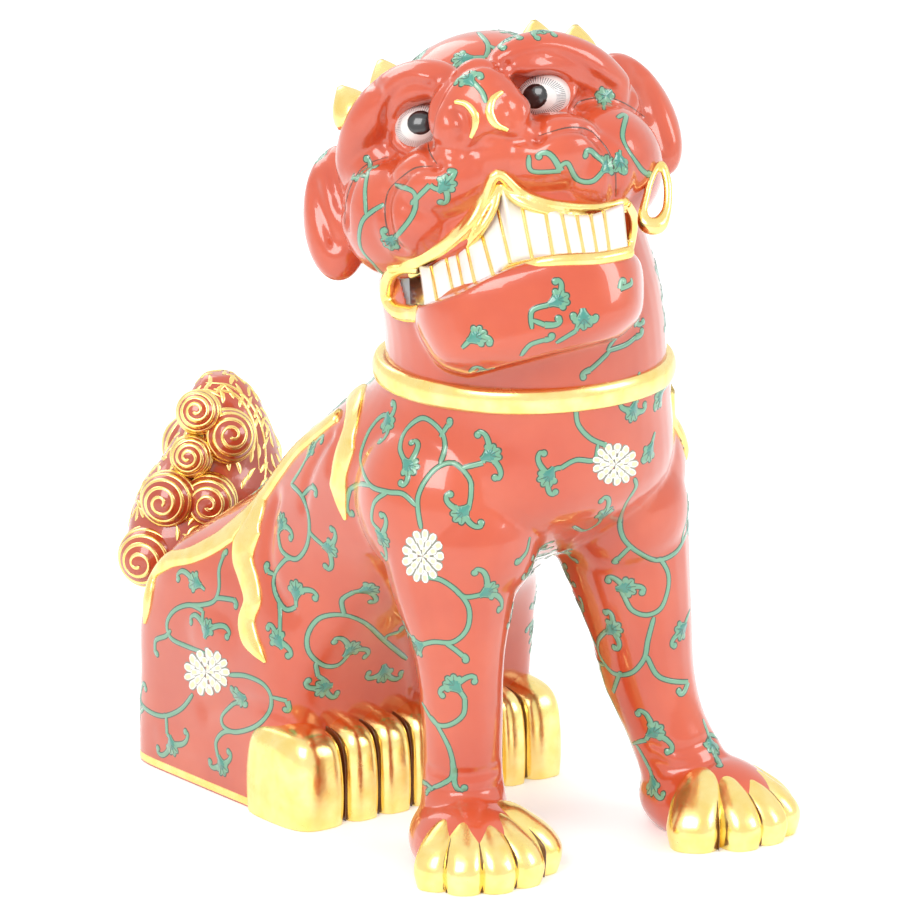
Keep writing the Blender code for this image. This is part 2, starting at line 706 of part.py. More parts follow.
    def neck_band(self, lock_spaces):
        """A rounded gold collar that covers the seam between the body and the head."""
        count = 26
        x, y = TORSO[-1][:2]
        middle = Vector((x, y, NECK_SEAM)) * MM
        half, rise = NECK_BAND_WIDTH / 2, NECK_BAND_RISE
        section = [(-3, -half), (0.3, -half), (rise, -half * 0.5), (rise, half * 0.5), (0.3, half), (-3, half)]
        bm = bmesh.new()
        loops = []
        for i in range(count):
            out = heading_vector(360 * i / count)
            place = self.body_tree.ray_cast(middle, out)[0]
            loops.append([bm.verts.new(place + (out * o + Vector((0, 0, h))) * MM) for o, h in section])
        for a, b in zip(loops, loops[1:] + loops[:1]):
            for k in range(len(section)):
                bm.faces.new((a[k], b[k], b[k - 1], a[k - 1]))
        bmesh.ops.recalc_face_normals(bm, faces=bm.faces[:])
        band = object_from(bm, "neck_band", self.parts)
        carve(band, self.body_space, self.head_space, *lock_spaces)
        self.finish(band, self.gold)

    def tail(self):
        bm = bmesh.new()
        add_loft(bm, TAIL, sides=20, steps=3)
        add_rod(bm, TAIL_ROOT, 12, 3)
        plume = melt(object_from(bm, "tail_plume", self.parts), 1.8, 4, 460)
        spaces = [self.body_space, swollen(plume, self.cutters)]
        carve(plume, self.body_space)
        self.finish(plume, self.brown)
        for number, (centre, radius) in enumerate(CURLS, start=1):
            spaces.append(self.oval(f"tail_curl_{number}", self.brown, centre, (radius,) * 3, (0, 0, 0), None, 8,
                                    *spaces))


Komainu().build()
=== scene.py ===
"""The looks of the porcelain komainu: one glazed skin, gold, and enamel scrolls painted on it.

Forms are in millimetres in the part's own design. DESIGN turns them into the frame's metres. What is painted
was picked from the photograph in its pixels, and PHOTO's rays carry each pixel on to the skin.
"""

import math
import random

import bmesh
import bpy
import numpy as np
from mathutils import Euler, Matrix, Vector
from mathutils.bvhtree import BVHTree

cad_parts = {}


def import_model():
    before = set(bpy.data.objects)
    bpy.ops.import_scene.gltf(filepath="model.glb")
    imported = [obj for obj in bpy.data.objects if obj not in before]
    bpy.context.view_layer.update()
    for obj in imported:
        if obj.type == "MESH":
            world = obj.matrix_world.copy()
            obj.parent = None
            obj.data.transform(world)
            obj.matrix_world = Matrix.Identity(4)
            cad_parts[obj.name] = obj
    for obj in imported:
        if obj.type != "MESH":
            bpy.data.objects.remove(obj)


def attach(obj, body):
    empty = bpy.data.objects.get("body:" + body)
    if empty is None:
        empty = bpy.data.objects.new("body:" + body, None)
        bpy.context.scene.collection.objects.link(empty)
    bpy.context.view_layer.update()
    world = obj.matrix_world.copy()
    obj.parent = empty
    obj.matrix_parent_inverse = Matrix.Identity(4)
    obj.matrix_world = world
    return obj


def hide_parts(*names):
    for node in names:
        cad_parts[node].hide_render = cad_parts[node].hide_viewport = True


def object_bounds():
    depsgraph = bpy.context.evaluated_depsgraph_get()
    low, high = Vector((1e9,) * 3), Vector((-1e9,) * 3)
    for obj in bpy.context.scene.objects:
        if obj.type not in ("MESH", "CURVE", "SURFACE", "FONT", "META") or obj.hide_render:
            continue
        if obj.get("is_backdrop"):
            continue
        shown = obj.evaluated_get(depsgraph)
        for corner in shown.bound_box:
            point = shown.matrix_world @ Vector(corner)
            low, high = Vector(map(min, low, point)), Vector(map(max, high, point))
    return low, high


MM = 0.001
ORIGIN = Vector((5.5, 12.583, 0.0))    # the design's point that lies on the frame's origin
DESIGN = Matrix.Translation(-ORIGIN * MM)

# The camera: where it aims, from how far, and how wide its picture is there.
AIM = (5.6, -4.2, 107.1)
DISTANCE = 2500.0
PICTURE_WIDTH = 270.0
PICTURE_PIXELS = 900
TURN = -37.0
LIFT = 15.5
SENSOR = 36.0
CLIP_END = 20           # in metres

NECK_SEAM = 143.0
WALL = 6.0
SKIN_VOXEL = 1.1
FACE_VOXEL = 0.8
GOLD_VOXEL = 0.6
LIP_VOXEL = 0.5
UNDER = -2.0            # how far a piece that stands on the floor is built below it, before it is cut level

# The body: x, y, z, half width, half depth, tilt, squareness.
HIP_MIDDLE = -4.0
TORSO = [
    (-4, 42, -8, 49, 42, 0, 9.0), (-4, 42, 10, 49, 42, 0, 9.0), (-4, 41.5, 28, 49, 42, 0, 8.5),
    (-4, 40, 46, 49.5, 43.5, 4, 7.0), (-3.5, 33, 62, 48, 43, 8, 5.0), (-3, 22, 73, 46, 42, 10, 3.2),
    (-1, 5, 86, 46, 44, 9, 2.5), (0, -14, 99.5, 47, 49.5, 11, 2.4), (1, -35, 117, 48, 49.5, 10, 2.3),
    (2, -45, 136, 43.6, 42.2, 5, 2.1), (2, -46, 152, 42.2, 41.2, 1, 2.0),
]
NECK = [(2, -46, 132, 42.5, 41.5, 0, 2.0), (2, -46, 152, 41.8, 40.8, 0, 2.0), (0, -45, 170, 42, 40, 0, 2.0),
        (-2, -44, 190, 38, 36, 0, 2.0)]
HAUNCH = ((-33, 38, 48), (21.5, 40, 21))
METATARSUS = [(-39.5, 67, 11, 14), (-39.5, 40, 12, 14), (-39, 10, 13, 13.5)]
CHEST = [((-30, -47, 108), (24, 27, 27)), ((-28, -58, 98), (21, 20, 22))]
RIGHT_LEG = [(-30, -50, 108, 22), (-32, -56, 85, 19), (-33, -60, 63, 13.5), (-32, -60, 44, 12.2),
             (-31, -59, 27, 12.0), (-32, -61, 14, 13.5)]
LEFT_LEG = [(29, -50, 108, 23), (32, -55, 85, 20), (35, -59, 63, 16), (37, -61, 46, 14), (40, -66, 30, 12),
            (44, -71, 15, 13.5)]
PAWS = {"right": (RIGHT_LEG, (-33, -61), -1), "left": (LEFT_LEG, (44, -73), 1)}
PAW_SIZE = (17, 22, 13.5)
PAW_HEIGHT = 9
PAW_FORWARD = 6
PAW_SPLAY = 22.0
TOE_REACH = 15.0
OUTER_TOE_REACH = 13.5
TOE_FAN = (-72, -34, -8, 17, 42)
FRONT_TOE_SIZE = (6.5, 12.9, 20.0)      # half width, half length, height
BIG_TOE_SIZE = (8.2, 13.2, 21.0)
GAP_SHADE_THICKNESS = 0.3                    # half of the dark plate of painted shade between two toes

# A front toe from the floor up: share of the height, set back, shares of the half width and half length,
# squareness. A plate of painted shade between two toes: share of the height, set back, half thickness,
# share of the half length.
FRONT_TOE_FOOT = (0.6, 0.92, 0.9, 2.7)
FRONT_TOE_SHAPE = [
    (0.22, 0, 1.07, 1.0, 2.8), (0.42, 0.4, 1.05, 0.97, 2.7), (0.62, 2.2, 0.98, 0.86, 2.5),
    (0.8, 4.4, 0.8, 0.66, 2.2), (0.93, 5.8, 0.52, 0.44, 2.0), (0.99, 6.2, 0.15, 0.15, 2.0),
]
FRONT_GAP_SHADE_FOOT = (0.4, 0.76)
FRONT_GAP_SHADE_SHAPE = [
    (0.4, 0.4, GAP_SHADE_THICKNESS, 0.82), (0.62, 2.2, GAP_SHADE_THICKNESS, 0.73), (0.78, 4.4, GAP_SHADE_THICKNESS, 0.55),
    (0.86, 5.8, 0.1, 0.2),
]
HIND_TOE_EDGES = (0.4, 13.2, 25.5, 37.5, 55.5)
HIND_TOE_HEIGHT = 30.0
HIND_TOE_FRONT = -13.0
HIND_TOE_LENGTH = 34.0
INNER_TOE_SHARE = 0.85                  # of the length, for all but the outer toe
LEFT_FOOT_SHARE = 0.8

# A hind toe from the floor up: share of the height, shares of the half width and half length, squareness.
HIND_TOE_FOOT = (1.06, 0.97, 3.2)
HIND_TOE_SHAPE = [
    (0.2, 1.12, 1.0, 3.2), (0.5, 1.12, 0.98, 3.2), (0.76, 1.06, 0.9, 3.0), (0.9, 0.84, 0.72, 2.6),
    (0.97, 0.4, 0.38, 2.2), (0.985, 0.1, 0.1, 2.0),
]
# A plate of painted shade between two hind toes: share of the height, share of the half length.
HIND_GAP_SHADE_SHAPE = [(-0.1, 0.8), (0.5, 0.81), (0.74, 0.73), (0.87, 0.55), (0.92, 0.2)]

# The head, in its own frame: middle and half sizes of each form.
HEAD_CENTRE = (-4.0, -43.0, 193.5)
HEAD_TURN = -37.0
HEAD_LIFT = -15.5
HEAD_TILT = -14.0
FACE_LIFT = -15.0
SKULL = [((0, 10, 7), (43, 42, 41)), ((0, -10, 25), (28, 26, 23)), ((0, -33, 14), (13, 16, 14)),
         ((0, -12, -14), (34, 26, 18))]
FACE_SIDES = [((-30, -4, 14), (16, 21, 20)), ((-31, -12, -1), (17, 23, 18)), ((-15, -33, 0), (17, 15, 12)),
              ((-26, -25, -6), (14, 15, 13)), ((-19, -20, 20), (12, 11, 11))]
JAW = [(0, -17, -54, 23, 17, 14, 2.6), (0, -16, -49, 30, 24, 12, 2.8), (0, -15, -41, 33, 28, 8, 2.8),
       (0, -14, -34, 34, 31, 2, 2.6), (0, -12, -30, 32, 27, 0, 2.4)]
BROW = [(-4.5, -38, 24, 3), (-8, -38, 27, 5.5), (-14, -37, 29.5, 6.5), (-23, -32, 30, 6.8),
        (-33, -24, 25.5, 6.8), (-40, -13, 18.5, 5.5), (-42.5, -6, 13, 2.5)]
NOSE = [((0.5, -44, 19.5), (9.5, 9.5, 10.5)), ((6, -44, 11), (8, 8.5, 8)), ((-9, -44, 12), (8, 8.5, 8.5)),
        ((-1, -44, 15), (9, 8.5, 8))]
MUZZLE = [((-1.5, -42.5, 14.5), (14.8, 10.5, 13.0)), ((-0.5, -34, 2.5), (15, 12.5, 10))]
EYE = (18.0, -26, 18.7)
EYE_SIZE = (8.6, 10.0, 7.4)
PUPIL = 4.6
SOCKET_BEFORE_EYE = 4.2
SOCKET_RADII = (8.9, 7.9)
SOCKET_ROD = 1.9
SOCKET_LEAN = -16
EARS = [((-48, 6, 10), (8, 12, 14)), ((44.5, 6, 17), (8, -12, -12))]      # middle and lean
EAR_SIZE = (10.5, 9.5, 20.5)
TUFTS = {"right_inner": ((-24, -25, 33), (8, -8)), "right_outer": ((-36, -20, 30), (8, -16)),
         "left_inner": ((20, -26, 33), (8, 6)), "left_outer": ((30.5, -22, 30), (8, 12))}

# Radius and height of each section of a tuft.
TUFT_SHAPE = [(6.6, -1.5), (6.8, 0.5), (6.3, 2.5), (5.2, 4.5), (3.7, 6.5), (2.2, 8.2), (0.8, 9.6)]
TUFT_FLATNESS = 0.9

# The middle of each pupil, and the middle and half sizes of each eye's rim, in the photo's pixels.
EYE_PIXELS = {"right": ((420, 122), (417, 126, 25, 22)), "left": ((534, 96), (538, 97, 28, 20))}

# Mane locks that the photo shows, in its pixels: middle line and width.
SEEN_LOCKS = {
    "right_shoulder_lock": "372,360,22 361,378,20 357,394,19 354,413,18 348,437,19 341,459,20 338,477,17 "
                           "341,496,12 346,521,2",
    "right_spine_lock": "339,415,13 322,428,16 298,449,16 280,472,16 267,491,17 253,509,17 234,528,18 "
                        "215,544,17 191,556,16 168,561,16 155,574,15 149,595,12 147,611,8 145,624,2",
    "right_flank_lock": "264,492,14 256,516,21 247,536,23 243,558,20 249,579,19 253,600,17 247,619,16 "
                        "250,638,17 258,651,12 266,663,2",
}

# The other mane locks: points near the skin, and the width there.
LEFT_LOCKS = {
    "left_shoulder_lock": [(33, -68, 139, 4), (39, -65, 131, 4), (43, -62, 122, 6), (44.5, -60, 115, 7),
                           (45, -59, 109, 1)],
    "left_spine_lock": [(34, -14, 132, 5), (34, 4, 119, 7), (37, 22, 99, 7), (42, 39, 82, 7.5),
                        (45, 55, 72, 7.5), (45, 72, 63, 7), (46, 76, 51, 4), (46, 75, 43, 1)],
    "left_flank_lock": [(40, 29, 86, 7), (43, 27, 76, 8.5), (46, 22, 66, 7.5), (47, 19, 58, 7),
                        (48, 14, 50, 5.5), (48, 9, 44, 1)],
}
LOCK_RISE = 1.5         # how proud of the skin a lock stands, and how deep its edges reach into it
BAND_MIDDLE = (2, -46)
BAND_HALF = 3.8
BAND_RISE = 1.7
BAND_ROOT = -2.5        # how deep the neck band's inner edge lies in the skin
TAIL = [(-1, 88, 26, 9, 9, 0, 2.0), (-4, 98, 38, 21, 14, 0, 2.2), (-7, 105, 55, 26.5, 17, 0, 2.2),
        (-2.5, 108, 72, 24.5, 17, 0, 2.2), (2, 109, 82, 19, 15, 0, 2.1), (3.5, 109, 92, 13.5, 13, 0, 2.0),
        (3, 110, 101, 10.5, 9, 0, 2.0), (2.5, 111, 107, 4.5, 4.5, 0, 2.0)]
TAIL_ROOT = [(0, 74, 26, 9), (-1, 88, 29, 10), (-3, 98, 40, 11)]
TAIL_CORE = (-1, 109, 78)
CURLS = [((-12.5, 100.5, 99), 7.0), ((-4.5, 96.5, 91), 8.6), ((-16.5, 99, 86), 6.6), ((-23.5, 101, 73), 9.0),
         ((-12.5, 95.5, 72), 8.8), ((-29, 104, 55), 9.7), ((13, 110, 79), 10.0), ((13, 110, 57), 10.0),
         ((0, 120.4, 82), 10.2), ((-4, 119.8, 57), 10.4)]
SEEN_CURLS = 6          # the first ones, which turn towards the camera by CURL_TURN
CURL_TURN = 0.9
CURL_LIFT = 0.3         # how much of its way up or down from the tail's core a curl keeps
TAIL_LINES = [
    "206,383 228,385 245,397 257,415 264,438 266,468 263,492", "214,389 234,394 248,410 256,432 259,470",
    "200,390 212,392 222,398",
]
CURL_TURNS = 5.2

# The gold of the mouth in the photo's pixels, with the rod's radius in millimetres.
UPPER_LIP_OUTER = (
    "392,268,1.5 405,266,1.5 420,262,1.5 447,247,1.5 469,226,1.5 484,199,1.5 497,173,1.5 520,192,1.5 "
    "546,203,1.5 573,207,1.5 601,207,1.5 624,202,1.5"
)
UPPER_LIP_INNER = (
    "412,274,1.2 441,261,1.2 463,249,1.2 479,232,1.2 493,208,1.2 500,186,1.2 515,199,1.2 537,209,1.2 "
    "561,215,1.2 588,216,1.2 612,212,1.2 626,208,1.2"
)
LOWER_LIP = (
    "398,311,2.3 412,313,2.6 425,311,2.8 451,299,2.5 478,288,2.5 509,273,2.4 532,264,1.6 561,260,1.8 "
    "601,258,1.8 628,252,1.7"
)
CORNER = "416,268,1.7 400,268,1.8 390,276,1.9 387,290,2.0 390,303,2.0 400,312,2.1 415,313,2.2"
FOLD = "626,204,1.5 631,216,1.8 630,232,1.9 627,250,1.8"
LOOP = (
    "662,165,1.2 667,180,1.3 668,196,1.3 666,212,1.5 658,225,2.6 646,224,2.4 643,212,1.4 646,198,1.1 "
    "650,182,1.1 656,169,1.1"
)
LOOP_DEPTH = -22.0      # how far forward the loop beside the mouth lies, in the head's frame
LOOP_MIDDLE = 655       # the pixel column of its middle
LOOP_SLANT = 0.1        # millimetres for each pixel
MOUTH_TOP = (
    "399,281 406,279 414,276 441,265 463,254 479,238 492,215 500,192 514,203 537,213 561,220 588,221 "
    "612,217 626,213"
)
MOUTH_BOTTOM = "399,301 408,304 425,302 459,290 492,273 528,259 555,255 590,252 624,247"
MOUTH_DEPTH = 5.0
MOUTH_EDGE = 1.4        # half of the slope's width
MOUTH_REACH = -2        # the skin behind this isn't moved
FURTHEST_JUMP = 1.6     # in depth, between two places along the lips
HIDDEN_DEPTH = -24.0    # where a pixel is taken to lie that shows no skin

# The hollow at the right corner of the mouth, whose shade is painted as grey and black sheets: columns from
# top to bottom, and how deep each lies.
MOUTH_SHADE_SHEETS = [("394,278 399,302", 0.7), ("409,277 410,303", 1.3), ("424,276 424,303", 2.2)]

# Soft strokes that shape the skin, in the photo's pixels: line, radius and height in millimetres.
FACE_STROKES = [
    ("369,80 382,98 388,122 385,144", 1.8, -1.2),
    ("430,87 414,84 400,90 391,102 387,118", 1.4, -1.0),
    ("428,78 410,74 393,82 382,96", 1.6, 0.9),
    ("506,64 527,56 551,53 578,64 599,80 615,90", 1.8, -1.2),
    ("511,75 532,67 559,69 581,82 605,97", 1.5, 0.9),
    ("520,70 545,62 572,72 590,84", 1.2, -0.8),
    ("399,179 388,192 385,214 390,238 399,251", 2.2, -1.9),
    ("433,166 415,168 399,179", 1.8, -1.7),
    ("591,130 607,149 615,171 616,197", 2.2, -1.9),
    ("538,136 565,128 583,128 594,133", 1.8, -1.7),
    ("388,157 366,165 353,181 346,203 345,224", 1.9, -1.8),
    ("573,109 581,101 605,97 626,104 645,117", 1.9, -1.8),
    ("437,164 429,150 428,130 431,112 438,95 448,80 461,68 479,61 496,64 511,75 524,91 533,108 538,126 "
     "535,138", 2.1, -2.0),
    ("437,162 457,165 472,150 484,139", 1.3, -1.0),
    ("490,136 505,138 520,141 534,138", 1.3, -1.0),
    ("455,103 463,104 470,109 474,117 473,128 471,136", 1.2, 0.9),
    ("501,93 493,100 491,113 497,125 506,129", 1.2, 0.9),
    ("458,112 463,124 461,136", 2.6, -1.8),
    ("508,102 513,114 512,124", 2.6, -1.8),
]
STROKE_STEPS = 20
FOLDS = slice(6, 13)    # those of the face between nose, muzzle and cheeks, which have a fine dark line
FOLD_LINE = (0.15, 0.4, 0.09)      # least width, what is added in the middle, and how far it stands out
EAR_STROKES = [
    ("313,184 318,202 324,219 334,243", 2.4, -1.7),
    ("322,152 330,168 338,190 343,215", 2.6, -1.2),
    ("637,66 635,82 634,98", 2.2, -1.3),
    ("645,74 652,100 659,122 666,146", 2.0, -1.3),
]
BODY_STROKES = [
    ("330,437 318,455 308,478 303,505", 2.4, -0.9),
    ("341,430 334,448 330,470", 2.0, -0.8),
    ("276,500 270,530 268,560 276,590 290,612", 2.6, -1.0),
    ("205,712 240,702 280,712 318,730", 3.0, -1.1),
    ("430,770 450,775 475,775 497,769", 1.5, -0.8),
    ("427,786 450,792 478,792 502,786", 1.5, -0.8),
    ("650,742 668,750 690,748 712,738", 1.6, -0.8),
    ("655,760 676,769 700,766 722,755", 1.6, -0.8),
    ("372,560 392,600 408,640 416,690", 2.2, -0.6),
]

# Painted scrolls in the photo's pixels: the stem, the tip of the leaf that ends it or nothing, and the
# ends of its hooks.
SCROLLS = [
    ("421,529 418,497 433,471 453,463 469,478 471,494 468,511", "459,516", "449,494 481,524"),
    ("440,464 445,446 440,430 423,418 406,430 400,448 406,463", "411,469", "413,441 401,484"),
    ("440,437 448,425", "", "450,421"),
    ("462,468 483,463", "494,453", "478,434 496,478"),
    ("416,506 403,494 388,492 371,486 362,469 361,453 368,433 376,421", "388,426", "393,403 379,443"),
    ("388,492 378,498 373,506 372,521 380,531", "384,541", "382,514 383,556"),
    ("371,486 360,484 350,489", "", "352,514"),
    ("530,537 527,551 521,559", "", "517,562"),
    ("576,406 578,424 590,438 605,445", "", "554,419"),
    ("598,444 594,460 576,460 561,468", "546,480", "543,453 555,493"),
    ("634,478 636,487 626,504 620,522 624,539 638,552 657,560 676,552 687,531 688,512 680,504", "670,506",
     "675,474 668,522"),
    ("632,546 627,550 619,558", "", "615,562"),
    ("657,560 661,560 668,573 668,589 661,608 647,615 632,610 624,596", "630,587", "607,580 643,592"),
    ("640,372 637,384 637,403", "632,415", "622,401 645,405"),
    ("671,380 663,390", "658,400", "655,408"),
    ("655,432 651,447", "648,455", "643,460"),
    ("573,526 584,531 598,524", "605,512", "602,499"),
    ("205,653 186,646 171,638 167,623 175,610 190,605 203,611", "208,626", "191,621 228,636"),
    ("190,605 201,605 214,601 219,588 219,570 223,557", "", "226,552"),
    ("205,590 200,585", "193,581", "178,578"),
    ("214,600 219,598 234,600", "", "236,606"),
    ("171,630 166,636 156,640 155,650", "", "157,654"),
    ("229,675 246,676 263,684 271,697 269,712 256,726 236,732 224,727 222,716 233,704", "238,697",
     "232,689 246,705"),
    ("271,697 287,701", "", "286,710"),
    ("236,732 224,732 216,742 218,757", "223,769", "210,762 229,752"),
    ("193,694 181,709 163,716 146,709 137,694 136,678 142,666", "155,681", "146,688 170,669"),
    ("163,716 166,717 167,734", "173,749", "158,749 186,732"),
    ("407,659 385,641 365,623 343,615 320,618 308,634 309,652 323,665 338,665 349,654", "354,647",
     "334,641 366,656"),
    ("343,615 344,614 342,600 354,592", "372,589", "372,602"),
    ("318,662 316,665 318,676", "320,688", "307,681 337,694"),
    ("385,641 387,636 399,632", "", "402,628"),
    ("384,664 384,670", "384,676", "368,674 401,674"),
    ("291,484 303,498 309,520 307,545 296,559 282,551 278,534", "282,520", "291,538"),
    ("309,525 311,534 325,547", "332,549", "332,529 326,567"),
    ("292,558 285,560 275,574 275,592 285,609 296,607", "296,587", "316,598"),
    ("279,600 280,612 280,634", "276,636", "268,627 289,656"),
    ("291,484 300,470 308,455", "312,447", "322,440"),
    ("302,496 312,486", "", "316,494"),
    ("276,575 268,572", "", "267,565"),
    ("424,577 441,580 459,593 469,609 467,629 453,642 433,642 418,646", "420,607", "407,591"),
    ("455,590 465,597 480,595", "492,589", "475,572 500,609"),
    ("445,643 453,648 463,656", "", "466,660"),
    ("422,703 435,723 449,725 463,715 465,699", "451,682", "441,695 478,680"),
    ("430,716 437,725 449,748 454,768", "", "463,789"),
    ("452,760 451,778 431,789", "", "427,792"),
    ("507,735 500,744", "486,750", "494,727"),
    ("508,632 502,644", "498,650", "490,658"),
    ("654,617 648,640 644,659 631,673 613,673 600,656 598,641 606,631", "615,627", "606,612 615,648"),
    ("645,655 648,659 657,675 671,681 688,682", "", "678,692"),
    ("622,673 619,675 613,692", "", "608,697"),
    ("690,610 684,627", "680,632", "673,646"),
    ("627,752 633,744 646,740", "657,730", "638,713 669,751"),
    ("636,745 640,751 650,770", "652,789", "663,795"),
    ("703,719 709,736", "713,748", "722,766"),
    ("478,32 488,45 484,59 467,66", "459,59", "442,75"),
    ("486,103 482,92 473,82", "466,76", "455,82 482,76"),
    ("395,185 414,193 413,214 395,238", "388,244", "384,230"),
    ("412,205 414,201 430,185", "448,182", "441,204 451,165"),
    ("384,204 363,220 360,246 374,265 384,276", "", "390,282"),
    ("366,215 365,190 368,171", "", "376,166"),
    ("529,155 532,171 561,171", "", "535,150"),
    ("556,171 567,163 577,179 593,181 607,166", "577,139", "583,158"),
    ("604,110 604,102", "603,98", "596,96 612,96"),
    ("617,118 626,115 623,139 639,166 647,174", "", "652,180"),
    ("620,150 620,161", "621,166", "626,172"),
    ("532,329 532,311 548,305", "562,298", "556,281"),
    ("532,320 545,325", "", "559,319"),
    ("462,348 470,340", "480,335", "490,343"),
    ("631,278 631,284 620,289", "", "624,281"),
    ("556,343 566,337 576,331", "584,323", "573,316 596,318"),
    ("521,356 530,345 545,340", "", "552,336"),
    ("470,372 478,367 494,375", "500,376", "493,386"),
    ("610,351 600,361 590,370", "", "583,377"),
    ("607,351 625,345 636,337", "", "642,331"),
]
ROSETTES = ["423,556,21,27", "615,464,23,21", "207,672,23,23"]      # middle, half width and half height

# Each line between two teeth, from the lower lip to the upper one, and both ends of the row.
TOOTH_LINES = [
    "424,305 420,270", "437,300 432,270", "454,294 447,260", "464,290 458,257", "475,283 467,247",
    "493,274 481,232", "510,262 497,205", "532,257 519,192", "553,255 545,209", "570,254 562,216",
    "584,254 577,218", "597,253 591,218", "609,250 604,214", "628,249 624,206",
]
APEX = "522,260 501,180"        # a line inside the tooth that reaches up between the lip's halves
APEX_TOOTH = 6                  # that tooth, counted from 0
APEX_SHARE = 0.3                # how far along it the apex lies
TOOTH_COLUMNS = 8
TOOTH_ROWS = 12
TOOTH_SET_BACK = 2.0
TOOTH_BULGE = 1.1
TOOTH_DEPTH = 1.5
TOOTH_SEAM = (1.35, 0.85)       # width of the gold between two teeth, and how far it stands out
NOSE_LINES = ["455,102 463,103 470,108 475,117 474,128 471,137", "502,92 493,99 490,112 496,125 507,130"]
NOSE_LINE = (1.2, 1.7, 0.5)     # least width, what is added in the middle, and how far it stands out

# Places on the sides that the photo doesn't show, near the skin: rosettes that the scrolls there grow from.
FAR_ROSETTES = [
    (54, 45, 46), (54, -2, 96), (54, 74, 26), (34, 94, 56), (-40, 94, 26), (22, 60, 102), (-18, 38, 124),
    (14, 16, 142), (8, 12, 207), (-18, 8, 180), (48, -60, 118), (22, -8, 232), (36, -24, 162), (56, -60, 72),
    (50, -30, 128),
]
FAR_ROSETTE_RADIUS = 6.9
FAR_STEMS = 3           # that leave each of them
FAR_STEM_TURN = 2.1     # in radians, from one to the next
FAR_STEM_START = 6.5

# Rings of a rosette: count of petals, and shares of the radius where they begin and end. PETAL_SHAPE is a
# petal's width from its root to its tip.
PETAL_RINGS = [(13, 0.52, 1.0), (9, 0.24, 0.68), (5, 0.02, 0.34)]
PETAL_SHAPE = (1.0, 1.0, 1.0, 1.0, 1.0, 0.93, 0.76, 0.36)

STEM_WIDTH = 1.45
OUTLINE = 0.36          # how far the dark outline shows at each side
ENAMEL = 0.13           # how proud of the glaze the enamel stands
SUNK = -0.05            # how its edges dip into the glaze
CLINGING = 1.5          # a band wider than this has its edges laid on the skin too
DROP = 1.08             # the radius of the drop that ends a hook
TRACE_STEP = 2.5        # pixels between two spots of a traced line
SHORTEST_STEP = 0.25
LONGEST_JUMP = 7        # a painted line ends where it would jump further than this
LEAF_REACH = 4.0
NECK_OF_LEAF = [(-3.2, 0.72), (-2.2, 1.0), (-1.3, 1.6), (-0.5, 2.3)]       # along and half across
VEIN_ANGLES = (-40, 0, 40)
VEIN_WIDTHS = (0.16, 0.2, 0.22, 0.2, 0.16, 0.1)
HOOK_SHAPE = [(0, 0), (0.28, 0.13), (0.58, 0.24), (0.86, 0.25), (1.05, 0.11), (0.98, -0.03)]    # along, ahead
HOOK_ANGLE = 78         # between a grown leaf's hook and the leaf
HOOK_LENGTHS = (5.5, 6.0)
SHORTEST_HOOK = 1.2
LONGEST_HOOK = 16
SCROLL_SPACE = 4.0      # clear space between a new scroll and what is painted
LEAF_SPACE = 5.5        # the same at its end, where the leaf comes
NEIGHBOURS = 60         # only what is painted this near to its start counts
GROW_TRIES = 3800
BRANCH_ANGLE = 52
BRANCH_LENGTHS = (13, 34)
BRANCH_BENDS = (0.03, 0.07)     # in radians for each millimetre, at the start
BRANCH_CURL = 0.16              # what is added to that at the end
FREE_START = 6          # spots at a new scroll's start that may lie near its stem
FEWEST_SPOTS = 9
FLOOR_SPACE = 7         # no scroll grows lower than this
BAND_SPACE = 6          # or nearer to the neck band
FACING = 0.12           # what is turned towards the camera by more than this cosine faces it
HIDDEN_BEHIND = 12      # what faces the camera is hidden where something this far before it covers it
FLAME_TRIES = 1500
FLAME_WIDTHS = (0.4, 1.0, 1.4, 1.6, 1.6, 1.4, 1.1, 0.7, 0.3)
FLAME_STEP = 0.62
FLAME_SPACE = 3.0
CURL_SPACE = 1.2        # clear space between a flame and a curl
GILT_LIFT = 0.2
LOWEST_FLAME = 34
EYE_LINES = 64          # round each eye, with the shares of its rim that each goes through, and widths there
EYE_LINE_SHARES = (1.0, 0.88, 0.76, 0.66)
EYE_LINE_WIDTHS = (0.34, 0.3, 0.26, 0.12)
SEED = 11

# The gold line round the foot of the body, in degrees and millimetres.
BASE_LINE_START = -38
BASE_LINE_TURN = 256
BASE_LINE_HEIGHT = 1.6
BASE_LINE_WIDTH = 2.6

# The slot of each colour of paint.
PAINT_SLOTS = {
    "green": "red_glaze", "teal": "red_glaze", "outline": "red_glaze", "petal": "white_glaze",
    "yellow": "white_glaze", "petal_line": "white_glaze", "gold": "gold", "black": "white_glaze",
    "grey": "white_glaze", "dark": "red_glaze",
}

# The studio, in metres and watts: name, place, size and power of each lamp.
LAMPS = [
    ("key", (-0.95, -0.55, 0.95), 0.75, 9.0),
    ("fill", (0.75, -1.05, 0.7), 0.6, 5.0),
    ("back", (0.1, 1.1, 1.0), 0.8, 4.0),
]
LAMP_AIM = (0, 0, 0.1)
FLOOR_HALF = 6.0
FLOOR_BELOW = 0.0002
SKY_HEIGHTS = (-0.2, 0.9)
SKY_LEVELS = (0.42, 0.95)


def smooth_rows(rows, steps):
    """More rows of numbers, on a smooth curve through the given ones."""
    out = []
    last = len(rows) - 1
    for i in range(last):
        four = rows[max(i - 1, 0)], rows[i], rows[i + 1], rows[min(i + 2, last)]
        for step in range(steps):
            t = step / steps
            out.append([
                0.5 * (2 * b + (c - a) * t + (2 * a - 5 * b + 4 * c - d) * t**2
                       + (3 * b - a - 3 * c + d) * t**3)
                for a, b, c, d in zip(*four)
            ])
    out.append(list(rows[-1]))
    return out


def pixels(text):
    return [tuple(float(v) for v in pair.split(",")) for pair in text.split()]


def mirrored(point, middle=0.0):
    return (2 * middle - point[0], *point[1:])


def turned(degrees):
    return Euler([math.radians(d) for d in degrees]).to_matrix().to_4x4()


def heading_vector(angle):
    return Matrix.Rotation(math.radians(angle), 3, "Z") @ Vector((0, -1, 0))


